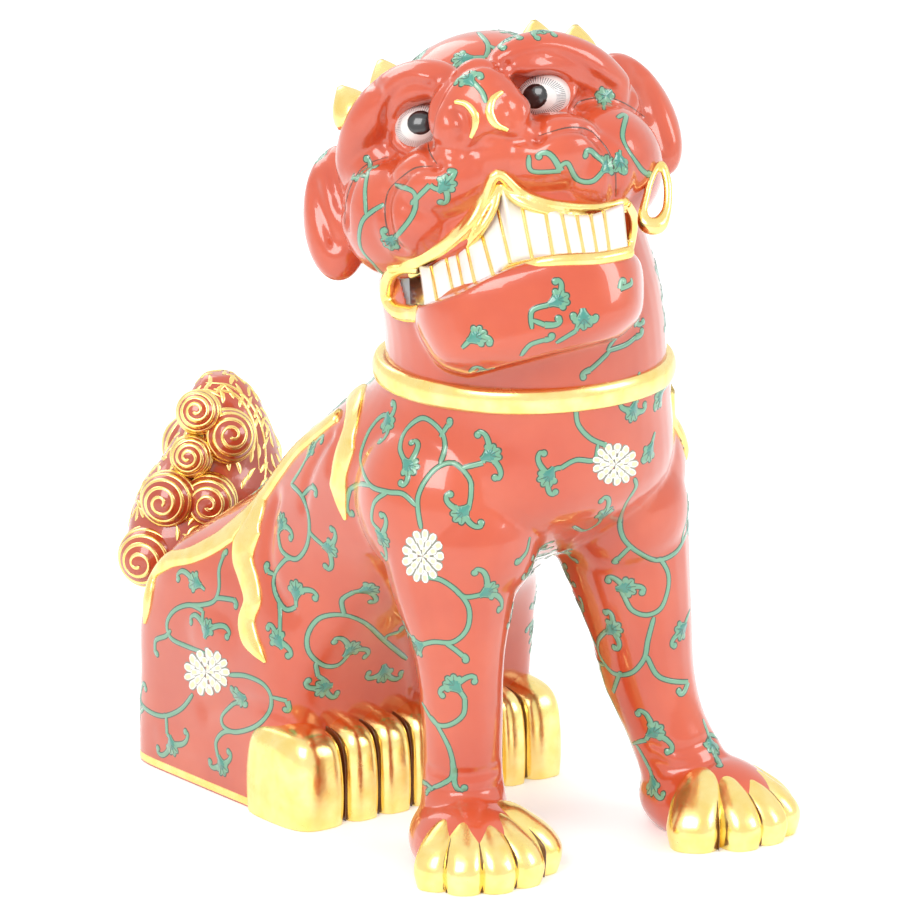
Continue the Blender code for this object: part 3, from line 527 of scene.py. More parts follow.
def head_frame():
    frame = DESIGN @ Matrix.Translation(Vector(HEAD_CENTRE) * MM)
    for turn in ((0, 0, HEAD_TURN), (HEAD_LIFT, 0, 0), (0, HEAD_TILT, 0), (FACE_LIFT, 0, 0)):
        frame = frame @ turned(turn)
    return frame


HEAD = head_frame()


class Photo:
    """The photograph's camera, as rays through its pixels."""

    def __init__(self):
        turn, lift = math.radians(TURN), math.radians(LIFT)
        back = Vector((math.sin(turn) * math.cos(lift), -math.cos(turn) * math.cos(lift), math.sin(lift)))
        self.aim = DESIGN @ (Vector(AIM) * MM)
        self.place = self.aim + back * DISTANCE * MM
        self.spin = (-back).to_track_quat("-Z", "Y")
        self.right = self.spin @ Vector((1, 0, 0))
        self.up = self.spin @ Vector((0, 1, 0))
        self.pixel = PICTURE_WIDTH * MM / PICTURE_PIXELS

    def ray(self, x, y):
        middle = PICTURE_PIXELS / 2
        through = self.aim + (self.right * (x - middle) - self.up * (y - middle)) * self.pixel
        return self.place, (through - self.place).normalized()

    def camera(self):
        data = bpy.data.cameras.new("camera")
        data.sensor_width = SENSOR
        data.lens = SENSOR * DISTANCE / PICTURE_WIDTH
        data.clip_end = CLIP_END
        obj = bpy.data.objects.new("camera", data)
        obj.location = self.place
        obj.rotation_euler = self.spin.to_euler()
        bpy.context.scene.collection.objects.link(obj)
        bpy.context.scene.camera = obj


PHOTO = Photo()


def skin(bm, rings):
    """A closed tube through rings of points."""
    loops = [[bm.verts.new(point) for point in ring] for ring in rings]
    count = len(rings[0])
    faces = [
        bm.faces.new((a[k], a[(k + 1) % count], b[(k + 1) % count], b[k]))
        for a, b in zip(loops, loops[1:])
        for k in range(count)
    ]
    faces.append(bm.faces.new(list(reversed(loops[0]))))
    faces.append(bm.faces.new(loops[-1]))
    bmesh.ops.recalc_face_normals(bm, faces=faces)


def add_loft(bm, sections, frame=DESIGN, sides=48, steps=5, shrink=0.0):
    """A closed form through sections of x, y, z, half width, half depth, tilt and squareness."""
    rings = []
    for x, y, z, half_x, half_y, tilt, square in smooth_rows(sections, steps):
        lean = Matrix.Rotation(math.radians(tilt), 3, "X")
        ring = []
        for k in range(sides):
            angle = 2 * math.pi * k / sides
            c, s = math.cos(angle), math.sin(angle)
            px = (half_x - shrink) * math.copysign(abs(c) ** (2 / square), c)
            py = (half_y - shrink) * math.copysign(abs(s) ** (2 / square), s)
            ring.append(frame @ ((Vector((x, y, z)) + lean @ Vector((px, py, 0))) * MM))
        rings.append(ring)
    skin(bm, rings)


def add_oval(bm, centre, half_sizes, frame=DESIGN, turn=(0, 0, 0), segments=36):
    size = Matrix.Diagonal((*(s * MM for s in half_sizes), 1.0))
    place = frame @ Matrix.Translation(Vector(centre) * MM) @ turned(turn) @ size
    bmesh.ops.create_uvsphere(bm, u_segments=segments, v_segments=segments // 2, radius=1, matrix=place)


def add_rod(bm, points, frame=DESIGN, sides=18, steps=6):
    """A rod with round ends through points of x, y, z, radius."""
    rows = smooth_rows(points, steps)
    centres = [Vector(row[:3]) for row in rows]
    rings = []
    side = Vector((0, 0, 1))
    for i, (centre, row) in enumerate(zip(centres, rows)):
        along = (centres[min(i + 1, len(rows) - 1)] - centres[max(i - 1, 0)]).normalized()
        side = side - along * side.dot(along)
        if side.length < 0.05:
            side = along.orthogonal()
        side.normalize()
        other = along.cross(side)
        rings.append([
            frame @ ((centre + (side * math.cos(a) + other * math.sin(a)) * row[3]) * MM)
            for a in (2 * math.pi * k / sides for k in range(sides))
        ])
    skin(bm, rings)
    for row in (rows[0], rows[-1]):
        add_oval(bm, row[:3], (row[3] * 0.98,) * 3, frame, segments=sides)


def add_ring(bm, centre, radii, rod, frame, turn, count=40, sides=12):
    """A closed round ring in the plane of its own x and z."""
    spin = turned(turn).to_3x3()
    loops = []
    for i in range(count):
        angle = 2 * math.pi * i / count
        out = Vector((math.cos(angle) * radii[0], 0, math.sin(angle) * radii[1]))
        away = Vector((math.cos(angle), 0, math.sin(angle)))
        loop = []
        for k in range(sides):
            a = 2 * math.pi * k / sides
            spot = out + away * math.cos(a) * rod + Vector((0, 1, 0)) * math.sin(a) * rod
            loop.append(bm.verts.new(frame @ ((Vector(centre) + spin @ spot) * MM)))
        loops.append(loop)
    faces = [
        bm.faces.new((a[k], b[k], b[(k + 1) % sides], a[(k + 1) % sides]))
        for a, b in zip(loops, loops[1:] + loops[:1])
        for k in range(sides)
    ]
    bmesh.ops.recalc_face_normals(bm, faces=faces)


def object_from(bm, name):
    mesh = bpy.data.meshes.new(name)
    bm.to_mesh(mesh)
    bm.free()
    obj = bpy.data.objects.new(name, mesh)
    bpy.context.scene.collection.objects.link(obj)
    return obj


def settle(obj):
    """Gives the object the mesh that its modifiers make."""
    bpy.context.view_layer.update()
    graph = bpy.context.evaluated_depsgraph_get()
    mesh = bpy.data.meshes.new_from_object(obj.evaluated_get(graph))
    obj.modifiers.clear()
    obj.data = mesh
    return obj


def melt(obj, voxel, softness):
    """Runs overlapping forms into one clay-like skin."""
    fuse = obj.modifiers.new("fuse", "REMESH")
    fuse.mode = "VOXEL"
    fuse.voxel_size = voxel * MM
    soften = obj.modifiers.new("soften", "SMOOTH")
    soften.iterations = softness
    return settle(obj)


def cut_level(obj, height, away, fill=True):
    """Cuts an object off above a height (away 1) or below it (away -1), and closes it there."""
    bm = bmesh.new()
    bm.from_mesh(obj.data)
    bmesh.ops.bisect_plane(bm, geom=bm.verts[:] + bm.edges[:] + bm.faces[:], dist=1e-6,
                           plane_co=(0, 0, height * MM), plane_no=(0, 0, away), clear_outer=True)
    if fill:
        bmesh.ops.holes_fill(bm, edges=[e for e in bm.edges if e.is_boundary], sides=0)
    bm.to_mesh(obj.data)
    bm.free()


def tree_of(*objs):
    """One search tree over several objects' meshes."""
    verts, faces = [], []
    for obj in objs:
        start = len(verts)
        verts += [v.co.copy() for v in obj.data.vertices]
        faces += [[start + i for i in p.vertices] for p in obj.data.polygons]
    return BVHTree.FromPolygons(verts, faces)


def photo_hits(tree, line):
    """Where the photo's rays through the pixels of a line meet a surface."""
    hits = []
    for x, y in line:
        place, normal, _, _ = tree.ray_cast(*PHOTO.ray(x, y))
        if place:
            hits.append((place, normal))
    return hits


def press(obj, strokes):
    """Moves a skin in or out along soft strokes of the photo's pixels."""
    tree = tree_of(obj)
    count = len(obj.data.vertices)
    places, normals = np.empty(count * 3), np.empty(count * 3)
    obj.data.vertices.foreach_get("co", places)
    obj.data.vertex_normals.foreach_get("vector", normals)
    places, normals = places.reshape(-1, 3), normals.reshape(-1, 3)
    shift = np.zeros(count)
    for text, radius, height in strokes:
        near = np.full(count, 1.0)
        for place, _ in photo_hits(tree, smooth_rows(pixels(text), STROKE_STEPS)):
            near = np.minimum(near, ((places - np.array(place)) ** 2).sum(axis=1))
        shift += height * MM * np.exp(-near / (radius * MM) ** 2)
    places += normals * shift[:, None]
    obj.data.vertices.foreach_set("co", places.ravel())
    soften = obj.modifiers.new("soften", "SMOOTH")
    soften.iterations = 2
    return settle(obj)


def seen_directly(tree):
    """1 for what the camera sees, also in gold or glaze, and 0 for the light that falls on things."""
    path = tree.nodes.new("ShaderNodeLightPath")
    found = path.outputs["Is Camera Ray"]
    for name in ("Is Glossy Ray", "Is Transmission Ray"):
        add = tree.nodes.new("ShaderNodeMath")
        add.operation = "MAXIMUM"
        tree.links.new(found, add.inputs[0])
        tree.links.new(path.outputs[name], add.inputs[1])
        found = add.outputs[0]
    return found


class Look:
    """Principled materials, each with its own procedural detail."""

    def __init__(self):
        self.red = self.glaze("red_glaze", (0.60, 0.072, 0.020), (0.68, 0.105, 0.034))
        self.brown = self.glaze("tail_glaze", (0.46, 0.052, 0.014), (0.58, 0.085, 0.026))
        self.white = self.glaze("white_glaze", (0.86, 0.85, 0.82), (0.9, 0.88, 0.84))
        self.green = self.glaze("green_enamel", (0.13, 0.37, 0.225), (0.20, 0.45, 0.29))
        self.teal = self.glaze("teal_enamel", (0.03, 0.25, 0.20), (0.06, 0.33, 0.24))
        self.outline = self.glaze("outline", (0.03, 0.05, 0.025), (0.05, 0.07, 0.03))
        self.petal = self.glaze("petal_enamel", (0.9, 0.88, 0.80), (0.93, 0.92, 0.86))
        self.yellow = self.glaze("petal_yellow", (0.9, 0.83, 0.42), (0.93, 0.88, 0.55))
        self.petal_line = self.glaze("petal_line", (0.16, 0.17, 0.12), (0.30, 0.30, 0.22))
        self.black = self.glaze("black_glaze", (0.006, 0.006, 0.007), (0.012, 0.012, 0.014))
        self.grey = self.glaze("grey_glaze", (0.25, 0.26, 0.28), (0.5, 0.5, 0.5))
        # this dark brown is painted shade in the gaps between the toes, and the fine lines in the folds of
        # the face
        self.dark = self.glaze("gap_shade_and_fold_line", (0.10, 0.022, 0.008), (0.2, 0.05, 0.01))
        self.gold = self.metal("gold")
        self.floor = self.plain("floor")

    def base(self, name):
        mat = bpy.data.materials.new(name)
        mat.use_nodes = True
        tree = mat.node_tree
        return mat, tree, tree.nodes["Principled BSDF"]

    def noise(self, tree, scale, detail=3.0):
        where = tree.nodes.new("ShaderNodeTexCoord")
        noise = tree.nodes.new("ShaderNodeTexNoise")
        noise.inputs["Scale"].default_value = scale
        noise.inputs["Detail"].default_value = detail
        tree.links.new(where.outputs["Object"], noise.inputs["Vector"])
        return noise.outputs["Fac"]

    def bump(self, tree, shader, height, distance, strength):
        bump = tree.nodes.new("ShaderNodeBump")
        bump.inputs["Distance"].default_value = distance
        bump.inputs["Strength"].default_value = strength
        tree.links.new(height, bump.inputs["Height"])
        tree.links.new(bump.outputs["Normal"], shader.inputs["Normal"])

    def blend(self, tree, fac, low, high, first, second):
        ramp = tree.nodes.new("ShaderNodeValToRGB")
        ramp.color_ramp.elements[0].position = low
        ramp.color_ramp.elements[1].position = high
        ramp.color_ramp.elements[0].color = (*first, 1)
        ramp.color_ramp.elements[1].color = (*second, 1)
        tree.links.new(fac, ramp.inputs["Fac"])
        return ramp.outputs["Color"]

    def glaze(self, name, deep, thin):
        """Coloured glaze that lies a little thicker and thinner, under a clear glossy surface."""
        mat, tree, shader = self.base(name)
        colour = self.blend(tree, self.noise(tree, 45), 0.35, 0.75, deep, thin)
        tree.links.new(colour, shader.inputs["Base Color"])
        shader.inputs["Roughness"].default_value = 0.28
        shader.inputs["Coat Weight"].default_value = 1.0
        shader.inputs["Coat Roughness"].default_value = 0.03
        shader.inputs["Coat IOR"].default_value = 1.55
        self.bump(tree, shader, self.noise(tree, 110, 1.0), 0.0004, 0.12)
        return mat

    def metal(self, name):
        """Overglaze gold: bright, brushed on by hand, a little uneven."""
        mat, tree, shader = self.base(name)
        colour = self.blend(tree, self.noise(tree, 160), 0.3, 0.7, (0.97, 0.72, 0.22), (1.0, 0.83, 0.36))
        tree.links.new(colour, shader.inputs["Base Color"])
        shader.inputs["Metallic"].default_value = 1.0
        rough = tree.nodes.new("ShaderNodeMapRange")
        rough.inputs["To Min"].default_value = 0.14
        rough.inputs["To Max"].default_value = 0.34
        tree.links.new(self.noise(tree, 240, 4.0), rough.inputs["Value"])
        tree.links.new(rough.outputs["Result"], shader.inputs["Roughness"])
        self.bump(tree, shader, self.noise(tree, 190, 2.0), 0.0005, 0.18)
        return mat

    def plain(self, name):
        """The studio floor: a pale board whose own colour is lifted where the camera sees it."""
        mat, tree, shader = self.base(name)
        colour = self.blend(tree, self.noise(tree, 3), 0.3, 0.7, (0.93, 0.925, 0.92), (0.95, 0.95, 0.95))
        tree.links.new(colour, shader.inputs["Base Color"])
        shader.inputs["Roughness"].default_value = 0.5
        shader.inputs["Emission Color"].default_value = (1, 1, 1, 1)
        lift = tree.nodes.new("ShaderNodeMath")
        lift.operation = "MULTIPLY"
        lift.inputs[1].default_value = 0.3
        tree.links.new(seen_directly(tree), lift.inputs[0])
        tree.links.new(lift.outputs[0], shader.inputs["Emission Strength"])
        return mat


def hand_in(obj, mat, slot, nodes=()):
    """Finishes a piece: its material, its body and the CAD nodes that it stands for. Its slot is not used."""
    obj.data.materials.clear()
    obj.data.materials.append(mat)
    obj.data.shade_smooth()
    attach(obj, "root")
    if nodes:
        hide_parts(*nodes)
    return obj


def paw_middle(paw, heading):
    """The middle of a paw, which lies before its leg."""
    return Vector((*paw, PAW_HEIGHT)) + heading_vector(heading) * PAW_FORWARD


def make_body(look):
    bm = bmesh.new()
    add_loft(bm, TORSO)
    for middle, (centre, size) in ((HIP_MIDDLE, HAUNCH), (0.0, CHEST[0]), (0.0, CHEST[1])):
        add_oval(bm, centre, size)
        add_oval(bm, mirrored(centre, middle), size)
    add_rod(bm, METATARSUS)
    add_rod(bm, [mirrored(p, HIP_MIDDLE) for p in METATARSUS])
    for leg, paw, turn in PAWS.values():
        add_rod(bm, leg)
        heading = PAW_SPLAY * turn
        add_oval(bm, paw_middle(paw, heading), PAW_SIZE, turn=(0, 0, heading))
    body = melt(object_from(bm, "glazed_body"), SKIN_VOXEL, 9)
    cut_level(body, NECK_SEAM + 2, 1)
    press(body, BODY_STROKES)
    cut_level(body, 0.0, -1, fill=False)
    hollow_base(body)
    return hand_in(body, look.red, "red_glaze", ["body_shell", "right_front_leg", "left_front_leg"])


def hollow_base(body):
    """Closes the paws underneath, and opens the body there on to its hollow."""
    bm = bmesh.new()
    add_loft(bm, TORSO, sides=40, steps=3, shrink=WALL)
    cavity = object_from(bm, "cavity")
    cut_level(cavity, NECK_SEAM - WALL, 1)
    cut_level(cavity, 0.0, -1, fill=False)
    bm = bmesh.new()
    bm.from_mesh(cavity.data)
    bmesh.ops.recalc_face_normals(bm, faces=bm.faces[:])
    bmesh.ops.reverse_faces(bm, faces=bm.faces[:])
    bm.from_mesh(body.data)
    rims = [e for e in bm.edges if e.is_boundary]
    bmesh.ops.triangle_fill(bm, use_beauty=True, edges=rims, normal=(0, 0, -1))
    bm.to_mesh(body.data)
    bm.free()
    bpy.data.objects.remove(cavity)


def make_head(look):
    bm = bmesh.new()
    add_loft(bm, NECK)
    add_loft(bm, JAW, HEAD)
    for centre, size in SKULL + NOSE + MUZZLE:
        add_oval(bm, centre, size, HEAD)
    for centre, size in FACE_SIDES:
        add_oval(bm, centre, size, HEAD)
        add_oval(bm, mirrored(centre), size, HEAD)
    for turn in (1, -1):
        add_rod(bm, [(x * turn, y, z, r) for x, y, z, r in BROW], HEAD)
        x, y, z = EYE
        socket = (-x * turn, y - SOCKET_BEFORE_EYE, z)
        add_ring(bm, socket, SOCKET_RADII, SOCKET_ROD, HEAD, (0, 0, SOCKET_LEAN * turn))
    for centre, lean in EARS:
        add_oval(bm, centre, EAR_SIZE, HEAD, lean)
    head = melt(object_from(bm, "glazed_head"), FACE_VOXEL, 8)
    cut_level(head, NECK_SEAM, -1)
    press(head, FACE_STROKES + EAR_STROKES)
    soften = head.modifiers.new("soften", "SMOOTH")
    soften.iterations = 5
    settle(head)
    nodes = ["head_shell", "lower_jaw", "nose", "right_brow", "left_brow", "right_ear", "left_ear"]
    return hand_in(head, look.red, "red_glaze", nodes)


class Face:
    """The face as the photo shows it, before the mouth is opened: places by pixel, in the head's frame."""

    def __init__(self, head):
        self.tree = tree_of(head)
        self.back = HEAD.inverted()
        self.top = self.edge(MOUTH_TOP)
        self.bottom = self.edge(MOUTH_BOTTOM)

    def at(self, x, y, depth=None):
        """The place that a pixel shows, or the place at a given depth in the head's frame."""
        start, way = PHOTO.ray(x, y)
        if depth is None:
            place = self.tree.ray_cast(start, way)[0]
            if place:
                return (self.back @ place) / MM
            depth = HIDDEN_DEPTH
        start, way = (self.back @ start) / MM, self.back.to_3x3() @ way
        return start + way * ((depth - start.y) / way.y)

    def beside(self, before, x, y):
        """The place that a pixel shows, kept from falling far behind the one before it."""
        place = self.at(x, y)
        if before and abs(place.y - before.y) > FURTHEST_JUMP:
            place = self.at(x, y, before.y + math.copysign(FURTHEST_JUMP, place.y - before.y))
        return place

    def edge(self, text):
        points = [self.at(*row) for row in smooth_rows(pixels(text), 5)]
        return sorted((p.x, p.z) for p in points)

    def height(self, edge, x):
        return float(np.interp(x, [p[0] for p in edge], [p[1] for p in edge]))

    def rod(self, bm, rows, inset):
        """A rod through pixels, with its radius in millimetres as each row's third number."""
        points = []
        p = None
        for x, y, radius in smooth_rows(rows, 4):
            p = self.beside(p, x, y)
            points.append((p.x, p.y + inset, p.z, radius + 0.25))
        soft = [points[0]]
        for a, b, c in zip(points, points[1:], points[2:]):
            soft.append((b[0], (a[1] + b[1] + c[1]) / 3, b[2], b[3]))
        add_rod(bm, soft + [points[-1]], HEAD, steps=1)

    def open_mouth(self, head):
        """Sets the skin between the lips back, to make room for the teeth."""
        left, right = self.top[0][0] + 0.5, self.top[-1][0] - 0.5
        for v in head.data.vertices:
            p = (self.back @ v.co) / MM
            if not left < p.x < right or p.y > MOUTH_REACH:
                continue
            low, high = self.height(self.bottom, p.x), self.height(self.top, p.x)
            inside = min(p.z - low, high - p.z, p.x - left, right - p.x)
            if inside > -MOUTH_EDGE:
                p.y += MOUTH_DEPTH * min(1.0, (inside + MOUTH_EDGE) / (2 * MOUTH_EDGE))
                v.co = HEAD @ (p * MM)
        head.data.update()


def make_lips(look, face):
    """The gold of the mouth: rods along the lips and round the corners, each with its inset."""
    outer, inner = pixels(UPPER_LIP_OUTER), pixels(UPPER_LIP_INNER)
    middle = [(x, (y + v) / 2, 1.2) for (x, y, _), (_, v, _) in zip(outer, inner)]
    for name, node, rods in (
        ("gilt_upper_lip", "upper_lip_band", ((outer, -0.1), (inner, -0.1), (middle, 0.6))),
        ("gilt_lower_lip", "lower_lip_band", ((pixels(LOWER_LIP), 0.4),)),
        ("gilt_right_mouth_corner", "right_mouth_corner_ring", ((pixels(CORNER), -0.2),)),
        ("gilt_left_mouth_corner", "left_mouth_corner_ring", ((pixels(FOLD), 0.3),)),
    ):
        bm = bmesh.new()
        for rows, inset in rods:
            face.rod(bm, rows, inset)
        if node == "left_mouth_corner_ring":
            add_loop(bm, face)
        hand_in(melt(object_from(bm, name), LIP_VOXEL, 2), look.gold, "gold", [node])


def add_loop(bm, face):
    """The closed loop beside the left corner of the mouth."""
    loop = pixels(LOOP)
    points = []
    for x, y, radius in smooth_rows(loop[-2:] + loop + loop[:2], 4)[8:-4]:
        place = face.at(x, y, LOOP_DEPTH + (x - LOOP_MIDDLE) * LOOP_SLANT)
        points.append((*place, radius))
    add_rod(bm, points, HEAD, steps=1)


def make_teeth(look, face, paint):
    """A white tooth between each two lines of the photo, with gold in the seams."""
    ends = []
    for text in TOOTH_LINES:
        before = ends[-1] if ends else (None, None)
        ends.append([face.beside(p, x, y) for p, (x, y) in zip(before, pixels(text))])
    apex = [face.at(*p) for p in pixels(APEX)]
    for pair in ends + [apex]:
        pair[1].y = pair[0].y * 0.5 + pair[1].y * 0.5
    bm = bmesh.new()
    grids = [
        add_tooth(bm, left, right, apex[1] if number == APEX_TOOTH else None)
        for number, (left, right) in enumerate(zip(ends, ends[1:]))
    ]
    seams = [[v.co.copy() for v in grid[0]] for grid in grids[1:]]
    bmesh.ops.remove_doubles(bm, verts=bm.verts[:], dist=1e-6)
    bmesh.ops.recalc_face_normals(bm, faces=bm.faces[:])
    teeth = object_from(bm, "teeth")
    solid = teeth.modifiers.new("depth", "SOLIDIFY")
    solid.thickness = TOOTH_DEPTH * MM
    settle(teeth)
    hand_in(teeth, look.white, "white_glaze", ["tooth_row"])
    front = HEAD.to_3x3() @ Vector((0, -1, 0))
    tree = tree_of(teeth)
    width, lift = TOOTH_SEAM
    for seam in seams:
        paint.band("gold", [(p, front) for p in seam], [width] * len(seam), lift, tree)
    # painted shade: grey and black sheets in the hollow at the right corner of the mouth
    paint.paint_mouth_shade(face)


def add_tooth(bm, left, right, apex):
    """A tooth's bulging front between its left line and its right one, up to its apex if it has one."""
    grid = []
    for i in range(TOOTH_COLUMNS + 1):
        share = i / TOOTH_COLUMNS
        bottom, top = (a.lerp(b, share) for a, b in zip(left, right))
        if apex is not None:
            bend = share / APEX_SHARE if share <= APEX_SHARE else 1 - abs(2 * share - 2 * APEX_SHARE)
            top = top.lerp(apex, max(0.0, min(1.0, bend)))
        column = []
        for k in range(TOOTH_ROWS + 1):
            rise = k / TOOTH_ROWS
            bulge = TOOTH_BULGE * (1 - (2 * share - 1) ** 4) * (1 - (2 * rise - 1) ** 6 * 0.6)
            p = bottom.lerp(top, rise) + Vector((0, TOOTH_SET_BACK - bulge, 0))
            column.append(bm.verts.new(HEAD @ (p * MM)))
        grid.append(column)
    for a, b in zip(grid, grid[1:]):
        for k in range(TOOTH_ROWS):
            bm.faces.new((a[k], b[k], b[k + 1], a[k + 1]))
    return grid


def make_eyes(look, paint):
    for turn, side in ((1, "right"), (-1, "left")):
        bm = bmesh.new()
        x, y, z = EYE
        add_oval(bm, (-x * turn, y, z), EYE_SIZE, HEAD, segments=64)
        eye = hand_in(object_from(bm, f"glazed_{side}_eye"), look.white, "white_glaze", [f"{side}_eye"])
        paint.eye(tree_of(eye), *EYE_PIXELS[side])


def make_tufts(look):
    for place, (base, lean) in TUFTS.items():
        bm = bmesh.new()
        spin = HEAD @ Matrix.Translation(Vector(base) * MM) @ turned((*lean, 0))
        skin(bm, [
            [
                spin @ (Vector((math.cos(a) * radius, math.sin(a) * radius * TUFT_FLATNESS, height)) * MM)
                for a in (2 * math.pi * k / 24 for k in range(24))
            ]
            for radius, height in TUFT_SHAPE
        ])
        hand_in(object_from(bm, f"gilt_{place}_tuft"), look.gold, "gold", [f"{place}_brow_tuft"])


def toe_frame(paw, heading, angle, reach):
    """Where a front toe stands on the floor, with its y along the toe."""
    centre = paw_middle(paw, heading) + heading_vector(angle) * reach
    centre.z = 0
    return DESIGN @ Matrix.Translation(centre * MM) @ turned((0, 0, angle))


def finish_toe(look, bm, name):
    toe = melt(object_from(bm, f"gilt_{name}"), GOLD_VOXEL, 3)
    cut_level(toe, 0.0, -1)
    hand_in(toe, look.gold, "gold", [name])


def finish_gap_shades(look, bm, name):
    # dark plates that paint the shade in the gaps between toes
    seams = object_from(bm, name)
    cut_level(seams, 0.0, -1)
    hand_in(seams, look.dark, "red_glaze")


def make_front_toes(look):
    """A fan of rounded toes on each paw, with dark plates of painted shade in the gaps between them."""
    for side, (_, paw, turn) in PAWS.items():
        heading = PAW_SPLAY * turn
        for number, spread in enumerate(TOE_FAN, start=1):
            wide, long, high = BIG_TOE_SIZE if number == 1 else FRONT_TOE_SIZE
            reach = OUTER_TOE_REACH if number == len(TOE_FAN) else TOE_REACH
            back, across, along, square = FRONT_TOE_FOOT
            sections = [(0, back, UNDER, wide * across, long * along, 0, square)] + [
                (0, back, high * rise, wide * across, long * along, 0, square)
                for rise, back, across, along, square in FRONT_TOE_SHAPE
            ]
            bm = bmesh.new()
            frame = toe_frame(paw, heading, heading + spread * turn, reach)
            add_loft(bm, sections, frame, sides=40, steps=6)
            finish_toe(look, bm, f"{side}_front_toe_{number}")
        # dark plates of painted shade in the gaps between the toes
        _, long, high = FRONT_TOE_SIZE
        back, along = FRONT_GAP_SHADE_FOOT
        sections = [(0, back, UNDER, GAP_SHADE_THICKNESS, long * along, 0, 2.0)] + [
            (0, back, high * rise, thick, long * along, 0, 2.0)
            for rise, back, thick, along in FRONT_GAP_SHADE_SHAPE
        ]
        bm = bmesh.new()
        for a, b in zip(TOE_FAN, TOE_FAN[1:]):
            frame = toe_frame(paw, heading, heading + (a + b) / 2 * turn, TOE_REACH)
            add_loft(bm, sections, frame, sides=24, steps=3)
        finish_gap_shades(look, bm, f"{side}_toe_seams")


def make_hind_toes(look):
    """Tall adjacent fins with rounded tops, the outer one the widest."""
    top = HIND_TOE_HEIGHT
    count = len(HIND_TOE_EDGES) - 1
    for side, turn, share in (("right", -1, 1.0), ("left", 1, LEFT_FOOT_SHARE)):
        # the dark plates between the hind toes are painted shade
        seams = bmesh.new()
        for number in range(1, count + 1):
            inner, outer = (edge * share for edge in HIND_TOE_EDGES[number - 1:number + 1])
            half = (outer - inner) / 2
            length = HIND_TOE_LENGTH * (1.0 if number == count else INNER_TOE_SHARE)
            middle = ((inner + outer) / 2 * turn, HIND_TOE_FRONT + length / 2)
            across, along, square = HIND_TOE_FOOT
            sections = [(*middle, UNDER, half * across, length / 2 * along, 0, square)] + [
                (*middle, top * rise, half * across, length / 2 * along, 0, square)
                for rise, across, along, square in HIND_TOE_SHAPE
            ]
            bm = bmesh.new()
            add_loft(bm, sections, sides=40, steps=6)
            finish_toe(look, bm, f"{side}_hind_toe_{number}")
            if number > 1:
                add_loft(seams, [
                    (inner * turn, middle[1], rise * top, GAP_SHADE_THICKNESS, length / 2 * along, 0, 2.0)
                    for rise, along in HIND_GAP_SHADE_SHAPE
                ], sides=24, steps=3)
        finish_gap_shades(look, seams, f"{side}_hind_toe_seams")


def lay_strand(look, name, rows):
    """A softly rounded gold strand on the skin, from rows of left edge, middle and right edge."""
    bm = bmesh.new()
    rings = []
    for left, (place, up), right in rows:
        width = (left[0] - right[0]).length / MM
        high = LOCK_RISE * min(1.0, 0.25 + width / 6)
        ring = [left[0] - left[1] * LOCK_RISE * MM]
        for a in np.linspace(math.pi, 0, 13):
            share = math.cos(a)
            edge = left if share < 0 else right
            spot = place.lerp(edge[0], abs(share))
            ring.append(spot + (up.lerp(edge[1], abs(share))).normalized() * high * math.sin(a) ** 0.7 * MM)
        ring.append(right[0] - right[1] * LOCK_RISE * MM)
        rings.append(ring)
    skin(bm, rings)
    hand_in(object_from(bm, f"gilt_{name}"), look.gold, "gold", [name])


def softened(spots):
    """The same spots, averaged along the line, so that a strand over them runs smoothly."""
    out = []
    for i in range(len(spots)):
        few, near = spots[max(i - 1, 0):i + 2], spots[max(i - 3, 0):i + 4]
        place = sum((p for p, _ in few), Vector()) / len(few)
        out.append((place, sum((n for _, n in near), Vector()).normalized()))
    return out


def seen_strand(tree, text):
    """Rows for lay_strand along a lock that the photo shows, as wide as it is there."""
    line = [row for row in smooth_rows(pixels(text), 8) if tree.ray_cast(*PHOTO.ray(*row[:2]))[0]]
    middles = softened([tree.ray_cast(*PHOTO.ray(x, y))[:2] for x, y, _ in line])
    lefts, rights = [], []
    for i, ((x, y, width), (place, normal)) in enumerate(zip(line, middles)):
        after, before = min(i + 2, len(line) - 1), max(i - 2, 0)
        along = middles[after][0] - middles[before][0]
        flat = Vector((line[after][1] - line[before][1], line[before][0] - line[after][0])).normalized()
        side = along.cross(normal).normalized()
        if side.dot(PHOTO.right * flat[0] - PHOTO.up * flat[1]) < 0:
            side = -side
        for edges, s in ((lefts, -0.5), (rights, 0.5)):
            spot, up = tree.ray_cast(*PHOTO.ray(x + flat[0] * width * s, y + flat[1] * width * s))[:2]
            if not spot or (spot - place).length > width * 0.95 * PHOTO.pixel:
                spot, up = tree.find_nearest(place + side * width * s * 1.4 * PHOTO.pixel)[:2]
            edges.append((spot, up))
    return zip(softened(lefts), middles, softened(rights))


def hidden_strand(tree, rows):
    """Rows for lay_strand along points near the skin, each with its width."""
    rows = smooth_rows(rows, 8)
    spots = softened([tree.find_nearest(DESIGN @ (Vector(row[:3]) * MM))[:2] for row in rows])
    for i, ((place, normal), row) in enumerate(zip(spots, rows)):
        along = spots[min(i + 2, len(spots) - 1)][0] - spots[max(i - 2, 0)][0]
        side = along.cross(normal).normalized() * row[3] / 2 * MM
        yield tree.find_nearest(place - side)[:2], (place, normal), tree.find_nearest(place + side)[:2]


def make_mane(look, tree):
    for name, text in SEEN_LOCKS.items():
        lay_strand(look, name, seen_strand(tree, text))
    for name, rows in LEFT_LOCKS.items():
        lay_strand(look, name, hidden_strand(tree, rows))


